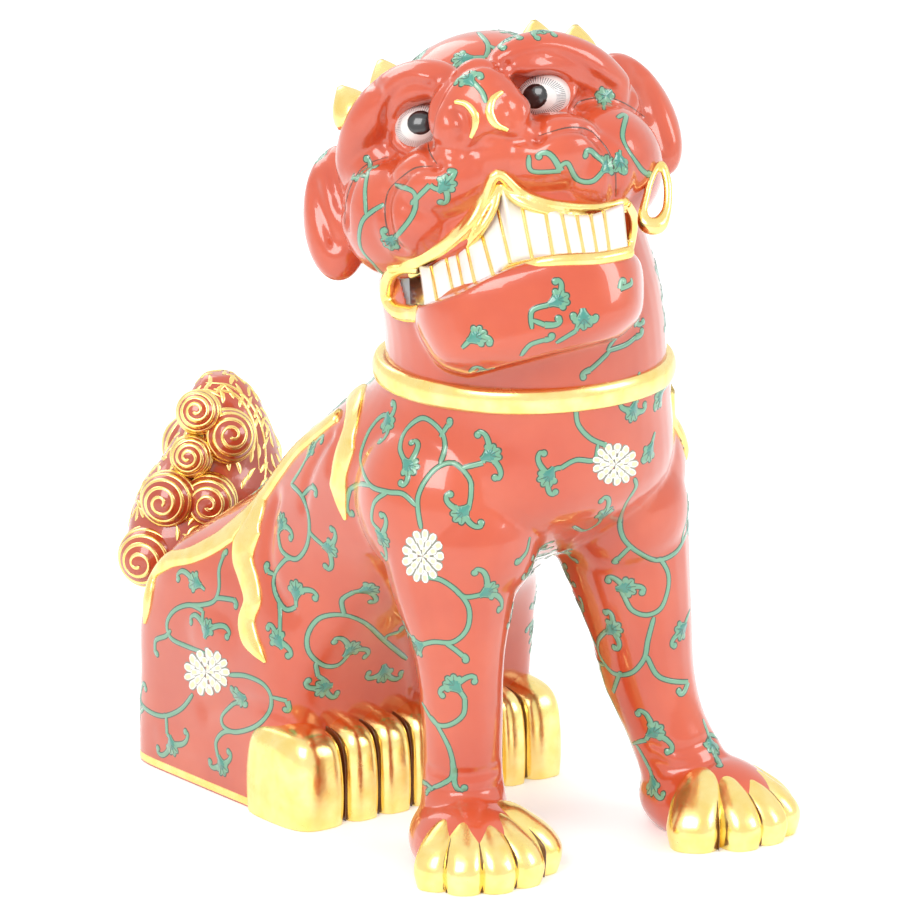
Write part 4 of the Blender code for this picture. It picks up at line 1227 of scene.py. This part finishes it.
def make_neck_band(look, tree):
    """A rounded gold band that follows the skin round the seam of head and body."""
    bm = bmesh.new()
    middle = DESIGN @ (Vector((*BAND_MIDDLE, NECK_SEAM)) * MM)
    count = 90
    section = [(BAND_ROOT, -BAND_HALF)] + [
        (BAND_RISE * math.sin(a), -BAND_HALF * math.cos(a)) for a in np.linspace(0.15, math.pi - 0.15, 11)
    ] + [(BAND_ROOT, BAND_HALF)]
    loops = []
    for i in range(count):
        out = heading_vector(360 * i / count)
        place = tree.ray_cast(middle - Vector((0, 0, 3 * MM)) + out * 0.2, -out)[0]
        place.z = middle.z
        loops.append([bm.verts.new(place + (out * o + Vector((0, 0, h))) * MM) for o, h in section])
    for a, b in zip(loops, loops[1:] + loops[:1]):
        for k in range(len(section)):
            bm.faces.new((a[k], b[k], b[k - 1], a[k - 1]))
    bmesh.ops.recalc_face_normals(bm, faces=bm.faces[:])
    hand_in(object_from(bm, "gilt_neck_band"), look.gold, "gold", ["neck_band"])


def make_tail(look, paint):
    """The plume with its spiral curls. Those that the photo shows turn their domes towards the camera."""
    bm = bmesh.new()
    add_loft(bm, TAIL)
    add_rod(bm, TAIL_ROOT)
    plume = melt(object_from(bm, "glazed_tail_plume"), SKIN_VOXEL, 6)
    hand_in(plume, look.brown, "tail_glaze", ["tail_plume"])
    core = DESIGN @ (Vector(TAIL_CORE) * MM)
    for number, (centre, radius) in enumerate(CURLS, start=1):
        place = DESIGN @ (Vector(centre) * MM)
        out = place - core
        out.z *= CURL_LIFT
        towards = (PHOTO.place - place).normalized() * (CURL_TURN if number <= SEEN_CURLS else 0.0)
        out = (out.normalized() + towards).normalized()
        spin = out.to_track_quat("Z", "X").to_matrix().to_4x4()
        bm = bmesh.new()
        size = Matrix.Diagonal((radius * MM, radius * MM, radius * 1.05 * MM, 1))
        shape = Matrix.Translation(place) @ spin @ size
        bmesh.ops.create_uvsphere(bm, u_segments=48, v_segments=28, radius=1, matrix=shape)
        curl = object_from(bm, f"glazed_tail_curl_{number}")
        hand_in(curl, look.brown, "tail_glaze", [f"tail_curl_{number}"])
        paint.spiral(tree_of(curl), place, out, 1 if number % 3 else -1)
    paint.flames(plume)


class Paint:
    """Enamel and gold lines laid on the skin, gathered into one mesh for each colour."""

    def __init__(self, tree):
        self.tree = tree
        self.layers = {}
        self.drawn = []          # places that are painted
        self.stems = []          # place, normal and direction along every stem

    def near(self, point, tree=None):
        return (tree or self.tree).find_nearest(point)[:2]

    def trace(self, text):
        """A line of the photo's pixels on the skin, up to where it would jump to another surface."""
        spots = []
        line = pixels(text)
        longest = max(math.dist(a, b) for a, b in zip(line, line[1:]))
        for place, normal in photo_hits(self.tree, smooth_rows(line, max(2, round(longest / TRACE_STEP)))):
            if spots and (place - spots[-1][0]).length > LONGEST_JUMP * MM:
                break
            if not spots or (place - spots[-1][0]).length > SHORTEST_STEP * MM:
                spots.append((place, normal))
        return spots

    def band(self, colour, spots, widths, lift, tree=None):
        """A raised line of paint. Its edges dip into the surface."""
        if len(spots) < 2:
            return
        verts, faces = self.layers.setdefault(colour, ([], []))
        last = len(spots) - 1
        for i, ((place, normal), width) in enumerate(zip(spots, widths)):
            along = spots[min(i + 1, last)][0] - spots[max(i - 1, 0)][0]
            side = along.cross(normal).normalized() * width / 2 * MM
            start = len(verts)
            for u, high in ((-1, SUNK), (-0.72, lift * 0.8), (0, lift), (0.72, lift * 0.8), (1, SUNK)):
                point, up = place + side * u, normal
                if width > CLINGING and u:
                    point, up = self.near(point, tree)
                verts.append(point + up * high * MM)
            if i:
                faces += [(start - 5 + k, start + k, start + k + 1, start - 4 + k) for k in range(4)]

    def outlined(self, spots, widths, lift=ENAMEL):
        """A green line with a dark outline."""
        self.band("outline", spots, [w + 2 * OUTLINE for w in widths], lift * 0.45)
        self.band("green", spots, widths, lift)
        self.drawn += [place for place, _ in spots]

    def stem(self, spots, thin=True):
        """A stem of one width, with a thin start where it leaves another one."""
        widths = [STEM_WIDTH * min(1.0, 0.5 + i * 0.2) if thin else STEM_WIDTH for i in range(len(spots))]
        self.outlined(spots, widths)
        for a, b in zip(spots, spots[1:]):
            self.stems.append((a[0], a[1], (b[0] - a[0]).normalized()))

    def walk(self, place, normal, heading, length, bend, step):
        """Spots over the surface from a place. bend(share) is the turn in radians for each millimetre."""
        spots = [(place, normal)]
        count = max(2, round(length / step))
        for i in range(count):
            heading = Matrix.Rotation(bend(i / count) * step, 3, normal) @ heading
            target, up = self.near(place + heading * step * MM)
            heading = target - place
            heading = heading - up * heading.dot(up)
            if heading.length < 1e-7:
                break
            heading.normalize()
            place, normal = target, up
            spots.append((place, normal))
        return spots

    def dot(self, colour, place, normal, radius, lift):
        """A round domed dot."""
        verts, faces = self.layers.setdefault(colour, ([], []))
        across = normal.orthogonal().normalized()
        start, count = len(verts), 12
        verts.append(place + normal * lift * 1.3 * MM)
        for share, high in ((0.75, lift), (1.0, SUNK)):
            for k in range(count):
                way = Matrix.Rotation(2 * math.pi * k / count, 3, normal) @ across
                spot, up = self.near(place + way * radius * share * MM)
                verts.append(spot + up * high * MM)
        for k in range(count):
            a, b = start + 1 + k, start + 1 + (k + 1) % count
            faces += [(start, a, b), (a, a + count, b + count, b)]

    def curl(self, spots):
        """A tapering line that ends in a round drop."""
        count = len(spots)
        widths = [2.1 - 1.0 * i / count for i in range(count)]
        self.outlined(spots, widths, ENAMEL * 1.05)
        self.dot("outline", *spots[-1], DROP + OUTLINE, ENAMEL * 0.5)
        self.dot("green", *spots[-1], DROP, ENAMEL * 1.1)

    def hook(self, place, normal, heading, length, side):
        """A hook of a given length that curls to one side."""
        self.curl(self.walk(place, normal, heading, length, lambda t: side * (0.1 + 0.42 * t), 0.5))

    def hook_to(self, place, normal, heading, target):
        """A hook from a leaf to the spot where its drop lies, arching forwards."""
        way = target - place
        way -= normal * way.dot(normal)
        chord = way.length
        if chord < SHORTEST_HOOK * MM or chord > LONGEST_HOOK * MM:
            self.dot("green", place, normal, 1.0, ENAMEL * 1.1)
            return
        ahead = heading - way * heading.dot(way) / chord**2
        ahead = ahead.normalized() * chord if ahead.length > 1e-6 else normal.cross(way)
        rows = smooth_rows([tuple(place + way * a + ahead * b) for a, b in HOOK_SHAPE], 4)
        self.curl([self.near(Vector(row)) for row in rows])

    def fan(self, colour, place, normal, heading, reach, grown, lift):
        """A scalloped fan of five rounded lobes over a flared neck."""
        verts, faces = self.layers.setdefault(colour, ([], []))
        edge = []
        for k in range(-25, 26):
            angle = math.radians(k * 4)
            lobe = 0.8 + 0.2 * abs(math.cos(4.5 * angle)) ** 0.8
            edge.append((angle, reach * lobe * (1 - 0.12 * (k / 25) ** 2) + grown))
        rim = [(along, -(wide + grown)) for along, wide in NECK_OF_LEAF]
        rim += [(math.cos(a) * r, math.sin(a) * r) for a, r in edge]
        rim += [(along, wide + grown) for along, wide in reversed(NECK_OF_LEAF)]
        side = normal.cross(heading)
        start, count = len(verts), len(rim)
        for share, high in ((0.82, lift), (1.0, SUNK)):
            for along, wide in rim:
                way = heading * (along * share - 0.35 * (1 - share)) + side * wide * share
                spot, up = self.near(place + way * MM)
                verts.append(spot + up * high * MM)
        middle = len(verts)
        verts.append(place + normal * lift * 1.2 * MM)
        for k in range(count):
            after = (k + 1) % count
            faces += [(middle, start + k, start + after),
                      (start + k, start + count + k, start + count + after, start + after)]

    def leaf(self, place, normal, heading, hooks=(), targets=()):
        """A palmette: the stem flares into a scalloped fan, with a hook at each side."""
        for side, length in hooks:
            way = Matrix.Rotation(math.radians(-HOOK_ANGLE * side), 3, normal) @ heading
            self.hook(place, normal, way, length, side)
        for target in targets:
            self.hook_to(place, normal, heading, target)
        self.fan("outline", place, normal, heading, LEAF_REACH, OUTLINE, ENAMEL * 0.55)
        self.fan("green", place, normal, heading, LEAF_REACH, 0.0, ENAMEL * 1.15)
        self.fan("teal", place, normal, heading, LEAF_REACH * 0.62, -0.25, ENAMEL * 1.6)
        for angle in VEIN_ANGLES:
            way = Matrix.Rotation(math.radians(angle), 3, normal) @ heading
            spots = [self.near(place + way * (0.2 + 0.6 * k) * MM) for k in range(len(VEIN_WIDTHS))]
            self.band("outline", spots, VEIN_WIDTHS, ENAMEL * 2.1)
        self.drawn += [self.near(place + heading * LEAF_REACH * MM)[0], place]

    def scroll(self, line, leaf, curls):
        """One of the photo's scrolls: its stem, then the leaf with its hooks, or the hooks alone."""
        spots = self.trace(line)
        if len(spots) < 3:
            return
        self.stem(spots)
        place, normal = spots[-1]
        heading = (spots[-1][0] - spots[-3][0]).normalized()
        ends = [hit[0] for hit in photo_hits(self.tree, pixels(curls))]
        if leaf:
            tip = photo_hits(self.tree, pixels(leaf))
            if tip and (tip[0][0] - place).length < 8 * MM:
                start, way = place, tip[0][0] - place
                if way.length > 1 * MM:
                    heading = way.normalized()
                place, normal = tip[0]
                if len(ends) == 2 and (place - (ends[0] + ends[1]) / 2).length > 0.9 * MM:
                    heading = heading * 0.25 + (place - (ends[0] + ends[1]) / 2).normalized()
                heading = (heading - normal * heading.dot(normal)).normalized()
                place, normal = self.near(place - heading * 1.4 * MM)
                bend = place - heading * min(4 * MM, (place - start).length * 0.7)
                arc = [start.lerp(bend, k / 7).lerp(bend.lerp(place, k / 7), k / 7) for k in range(8)]
                self.stem([self.near(point) for point in arc], thin=False)
            self.leaf(place, normal, heading, targets=ends)
        else:
            for end in ends:
                self.hook_to(place, normal, heading, end)

    def rosette(self, spot):
        """Rings of white and pale yellow petals. spot(reach, angle) gives a place for 0 to 1 and radians."""
        for ring, (count, inner, outer) in enumerate(PETAL_RINGS):
            for k in range(count):
                angle, half = 2 * math.pi * (k + ring * 0.5) / count, math.pi / count
                spots, widths = [], []
                for step, share in enumerate(PETAL_SHAPE):
                    reach = inner + (outer - inner) * step / (len(PETAL_SHAPE) - 1)
                    spots.append(spot(reach, angle))
                    wide = min(reach, inner + (outer - inner) * 0.75)
                    across = spot(wide, angle - half)[0] - spot(wide, angle + half)[0]
                    widths.append(across.length / MM * share)
                lift = ENAMEL * (1.1 + 0.9 * ring)
                self.band("petal_line", spots, [w * 1.1 + 0.3 for w in widths], lift * 0.8)
                self.band("petal", spots, [w * 1.02 for w in widths], lift + 0.03)
                self.band("yellow", spots[3:-1], [w * 0.6 for w in widths[3:-1]], lift + 0.08)
        self.drawn += [spot(0.95, k * math.pi / 4)[0] for k in range(8)]

    def grow(self, dice, allowed, tries):
        """Fills the sides that the photo doesn't show with branching scrolls, clear of each other."""
        for _ in range(tries):
            place, normal, along = self.stems[dice.randrange(len(self.stems))]
            side = dice.choice((-1, 1))
            length = dice.uniform(*BRANCH_LENGTHS)
            turn = dice.uniform(*BRANCH_BENDS)
            heading = Matrix.Rotation(-side * math.radians(BRANCH_ANGLE), 3, normal) @ along
            spots = self.walk(place, normal, heading, length,
                              lambda t: side * (turn + BRANCH_CURL * t * t), 1.0)
            cloud = np.array([p for p in self.drawn if (p - place).length < NEIGHBOURS * MM])
            kept = []
            for i, (spot, up) in enumerate(spots):
                if i > FREE_START and not (allowed(spot, up) and is_clear(cloud, spot, SCROLL_SPACE)):
                    break
                kept.append((spot, up))
            while len(kept) >= FEWEST_SPOTS and not is_clear(cloud, kept[-1][0], LEAF_SPACE):
                kept.pop()
            if len(kept) < FEWEST_SPOTS:
                continue
            heading = (kept[-1][0] - kept[-3][0]).normalized()
            self.stem(kept)
            self.leaf(*kept[-1], heading, hooks=zip((side, -side), HOOK_LENGTHS))

    def spiral(self, tree, place, out, side):
        """A gold spiral on the dome of a tail curl."""
        across = out.orthogonal().normalized()
        other = out.cross(across) * side
        spots = []
        count = 220
        for i in range(count):
            share = i / (count - 1)
            angle = 2 * math.pi * CURL_TURNS * share
            tilt = math.radians(5 + 96 * share)
            way = (across * math.cos(angle) + other * math.sin(angle)) * math.sin(tilt) + out * math.cos(tilt)
            spot, normal = tree.ray_cast(place + way * 0.1, -way)[:2]
            if spot:
                spots.append((spot, normal))
        widths = [(1.0 + 0.95 * i / count) * (1 + 0.14 * math.sin(i * 0.31)) for i in range(len(spots))]
        self.band("gold", spots, widths, 0.26, tree)

    def flames(self, plume):
        """Gold contour lines and flame-like dashes on the tail, between its curls."""
        tree = tree_of(plume)
        for text in TAIL_LINES:
            spots = photo_hits(tree, smooth_rows(pixels(text), 8))
            count = len(spots)
            widths = [1.2 * math.sin(math.pi * min(1, (i + 2) / count)) + 0.2 for i in range(count)]
            self.band("gold", spots, widths, GILT_LIFT, tree)
        dice = random.Random(SEED)
        curls = [(DESIGN @ (Vector(centre) * MM), radius) for centre, radius in CURLS]
        faces = [p.center.copy() for p in plume.data.polygons]
        placed = []
        for _ in range(FLAME_TRIES):
            place = dice.choice(faces)
            if place.z < LOWEST_FLAME * MM:
                continue
            if any((place - c).length < (r + CURL_SPACE) * MM for c, r in curls):
                continue
            if any((place - other).length < FLAME_SPACE * MM for other in placed):
                continue
            placed.append(place)
            spot, normal = self.near(place, tree)
            near = min(curls, key=lambda c: (c[0] - spot).length)[0]
            way = (spot - near).normalized() * 0.6 + Vector((0, 0, 1))
            way = (way - normal * way.dot(normal)).normalized()
            bend = dice.choice((-1, 1)) * dice.uniform(0.05, 0.13)
            spots = [(spot, normal)]
            for _ in FLAME_WIDTHS[1:]:
                way = Matrix.Rotation(bend, 3, normal) @ way
                spot, normal = self.near(spot + way * FLAME_STEP * MM, tree)
                spots.append((spot, normal))
            self.band("gold", spots, FLAME_WIDTHS, GILT_LIFT, tree)

    def eye(self, tree, middle, rim):
        """A black pupil and the fine lines round the rim of an eye."""
        hits = photo_hits(tree, [middle])
        if not hits:
            return
        place, normal = hits[0]
        across = normal.orthogonal().normalized()
        verts, faces = self.layers.setdefault("black", ([], []))
        rings, count = 7, 40
        start = len(verts)
        for r in range(rings):
            reach = PUPIL * r / (rings - 1)
            for k in range(count):
                way = Matrix.Rotation(2 * math.pi * k / count, 3, normal) @ across
                spot, up = self.near(place + way * reach * MM, tree)
                verts.append(spot + up * (0.25 if r < rings - 1 else SUNK) * MM)
        for r in range(rings - 1):
            for k in range(count):
                a, b = start + r * count, start + (r + 1) * count
                faces.append((a + k, a + (k + 1) % count, b + (k + 1) % count, b + k))
        x, y, wide, high = rim
        for k in range(EYE_LINES):
            angle = 2 * math.pi * k / EYE_LINES
            c, s = math.cos(angle), math.sin(angle)
            line = [(x + wide * share * c, y + high * share * s) for share in EYE_LINE_SHARES]
            self.band("grey", photo_hits(tree, line), EYE_LINE_WIDTHS, 0.06, tree)

    def paint_mouth_shade(self, face):
        """Painted shade in the hollow at the right corner of the mouth: grey sheets where some light still
        reaches it, and black ones behind.
        """
        shade_columns = []
        for text, inset in MOUTH_SHADE_SHEETS:
            top, bottom = (face.at(*p) for p in pixels(text))
            shade_columns.append([bottom.lerp(top, k / 4) + Vector((0, inset, 0)) for k in range(5)])
        # the grey sheets are painted half shade, the black ones painted deep shade
        for colour, columns in (("grey", shade_columns[:2]), ("black", shade_columns[1:])):
            verts, faces = self.layers.setdefault(colour, ([], []))
            start = len(verts)
            verts += [HEAD @ (p * MM) for column in columns for p in column]
            faces += [(start + k, start + 5 + k, start + 6 + k, start + 1 + k) for k in range(4)]

    def hand_over(self, look):
        """Makes an object of each colour's paint."""
        for colour, (verts, faces) in self.layers.items():
            mesh = bpy.data.meshes.new(f"painted_{colour}")
            mesh.from_pydata(verts, [], faces)
            mesh.validate()
            bm = bmesh.new()
            bm.from_mesh(mesh)
            bmesh.ops.dissolve_degenerate(bm, edges=bm.edges[:], dist=1e-6)
            bmesh.ops.recalc_face_normals(bm, faces=bm.faces[:])
            bm.to_mesh(mesh)
            bm.free()
            obj = bpy.data.objects.new(f"painted_{colour}", mesh)
            bpy.context.scene.collection.objects.link(obj)
            hand_in(obj, getattr(look, colour), PAINT_SLOTS[colour])


def is_clear(cloud, place, space):
    """Whether no point of a cloud lies within a space round a place."""
    return ((cloud - np.array(place)) ** 2).sum(axis=1).min() > (space * MM) ** 2


def draw_seen(paint):
    """The rosettes and scrolls that the photo shows."""
    for text in ROSETTES:
        x, y, wide, high = pixels(text)[0]
        paint.rosette(lambda reach, angle: photo_hits(
            paint.tree, [(x + wide * reach * math.cos(angle), y + high * reach * math.sin(angle))])[0])
    for line, leaf, curls in SCROLLS:
        paint.scroll(line, leaf, curls)


def draw_far_rosettes(paint):
    """The rosettes of the other sides, each with the starts of a few stems."""
    for point in FAR_ROSETTES:
        place, normal = paint.near(DESIGN @ (Vector(point) * MM))
        across = normal.orthogonal().normalized()
        other = normal.cross(across)
        paint.rosette(lambda reach, angle: paint.near(
            place + (across * math.cos(angle) + other * math.sin(angle)) * reach * FAR_ROSETTE_RADIUS * MM))
        for k in range(FAR_STEMS):
            way = Matrix.Rotation(k * FAR_STEM_TURN, 3, normal) @ across
            paint.stems.append((*paint.near(place + way * FAR_STEM_START * MM), way))


def unseen(tree):
    """Whether the photo's camera can't see a place, and scrolls may grow there."""
    def allowed(place, normal):
        height = place.z / MM
        if height < FLOOR_SPACE or abs(height - NECK_SEAM) < BAND_SPACE:
            return False
        towards = PHOTO.place - place
        if normal.dot(towards.normalized()) > FACING:
            hit = tree.ray_cast(place + normal * 0.5 * MM, towards.normalized())
            if not hit[0] or hit[3] < HIDDEN_BEHIND * MM:
                return False
        return True
    return allowed


def draw_base_line(paint):
    """The gold line round the foot of the body, from toe to toe."""
    spots = []
    count = 140
    start = DESIGN @ (Vector((0, 40, BASE_LINE_HEIGHT)) * MM)
    for k in range(count):
        angle = math.radians(BASE_LINE_START + BASE_LINE_TURN * k / (count - 1))
        out = Vector((math.cos(angle), math.sin(angle), 0))
        spot, normal = paint.tree.ray_cast(start + out * 0.2, -out)[:2]
        if spot:
            spots.append((spot, normal))
    paint.band("gold", spots, [BASE_LINE_WIDTH] * len(spots), 0.12)


def draw_face_lines(paint):
    """The gold on the wings of the nose, and the fine dark lines in the folds beside it."""
    folds = [text for text, _, _ in FACE_STROKES[FOLDS]]
    for colour, lines, (least, more, lift) in (("gold", NOSE_LINES, NOSE_LINE), ("dark", folds, FOLD_LINE)):
        for text in lines:
            spots = paint.trace(text)
            widths = [least + more * math.sin(math.pi * i / len(spots)) for i in range(len(spots))]
            paint.band(colour, spots, widths, lift)


def make_floor(look):
    mesh = bpy.data.meshes.new("floor")
    corners = [(x * FLOOR_HALF, y * FLOOR_HALF, 0) for x, y in ((-1, -1), (1, -1), (1, 1), (-1, 1))]
    mesh.from_pydata(corners, [], [(0, 1, 2, 3)])
    floor = bpy.data.objects.new("floor", mesh)
    floor.data.materials.append(look.floor)
    bpy.context.scene.collection.objects.link(floor)
    floor.location.z = -FLOOR_BELOW
    floor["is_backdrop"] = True


def make_world():
    """An even sky that lights more from above, and is white where the camera sees it."""
    world = bpy.data.worlds.new("studio")
    bpy.context.scene.world = world
    world.use_nodes = True
    tree = world.node_tree
    where = tree.nodes.new("ShaderNodeTexCoord")
    split = tree.nodes.new("ShaderNodeSeparateXYZ")
    tree.links.new(where.outputs["Generated"], split.inputs["Vector"])
    sky = tree.nodes.new("ShaderNodeMapRange")
    for name, levels in (("From", SKY_HEIGHTS), ("To", SKY_LEVELS)):
        for end, level in zip(("Min", "Max"), levels):
            sky.inputs[f"{name} {end}"].default_value = level
    tree.links.new(split.outputs["Z"], sky.inputs["Value"])
    mix = tree.nodes.new("ShaderNodeMix")
    mix.data_type = "FLOAT"
    tree.links.new(seen_directly(tree), mix.inputs[0])
    tree.links.new(sky.outputs["Result"], mix.inputs[2])
    mix.inputs[3].default_value = 1.0
    tree.links.new(mix.outputs[0], tree.nodes["Background"].inputs["Strength"])
    tree.nodes["Background"].inputs["Color"].default_value = (1, 1, 1, 1)


def make_lamps():
    for name, place, size, power in LAMPS:
        data = bpy.data.lights.new(name, "AREA")
        data.shape = "SQUARE"
        data.size = size
        data.energy = power
        lamp = bpy.data.objects.new(name, data)
        lamp.location = place
        lamp.rotation_euler = (Vector(LAMP_AIM) - Vector(place)).to_track_quat("-Z", "Y").to_euler()
        bpy.context.scene.collection.objects.link(lamp)


def write_sizes(before, after):
    str({"cad": [list(v) for v in before], "visual": [list(v) for v in after]}).replace("'", '"')


def main():
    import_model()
    cad_box = [tuple(v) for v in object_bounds()]
    bpy.context.scene.view_settings.view_transform = "Standard"
    PHOTO.camera()
    look = Look()
    body = make_body(look)
    head = make_head(look)
    face = Face(head)
    face.open_mouth(head)
    make_lips(look, face)
    make_tufts(look)
    make_front_toes(look)
    make_hind_toes(look)
    body_tree = tree_of(body)
    make_mane(look, body_tree)
    make_neck_band(look, body_tree)
    paint = Paint(tree_of(body, head))
    make_teeth(look, face, paint)
    make_eyes(look, paint)
    draw_seen(paint)
    draw_far_rosettes(paint)
    draw_face_lines(paint)
    draw_base_line(paint)
    make_tail(look, paint)
    paint.grow(random.Random(SEED), unseen(paint.tree), GROW_TRIES)
    paint.hand_over(look)
    make_floor(look)
    make_world()
    make_lamps()
    write_sizes(cad_box, [tuple(v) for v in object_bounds()])


main()
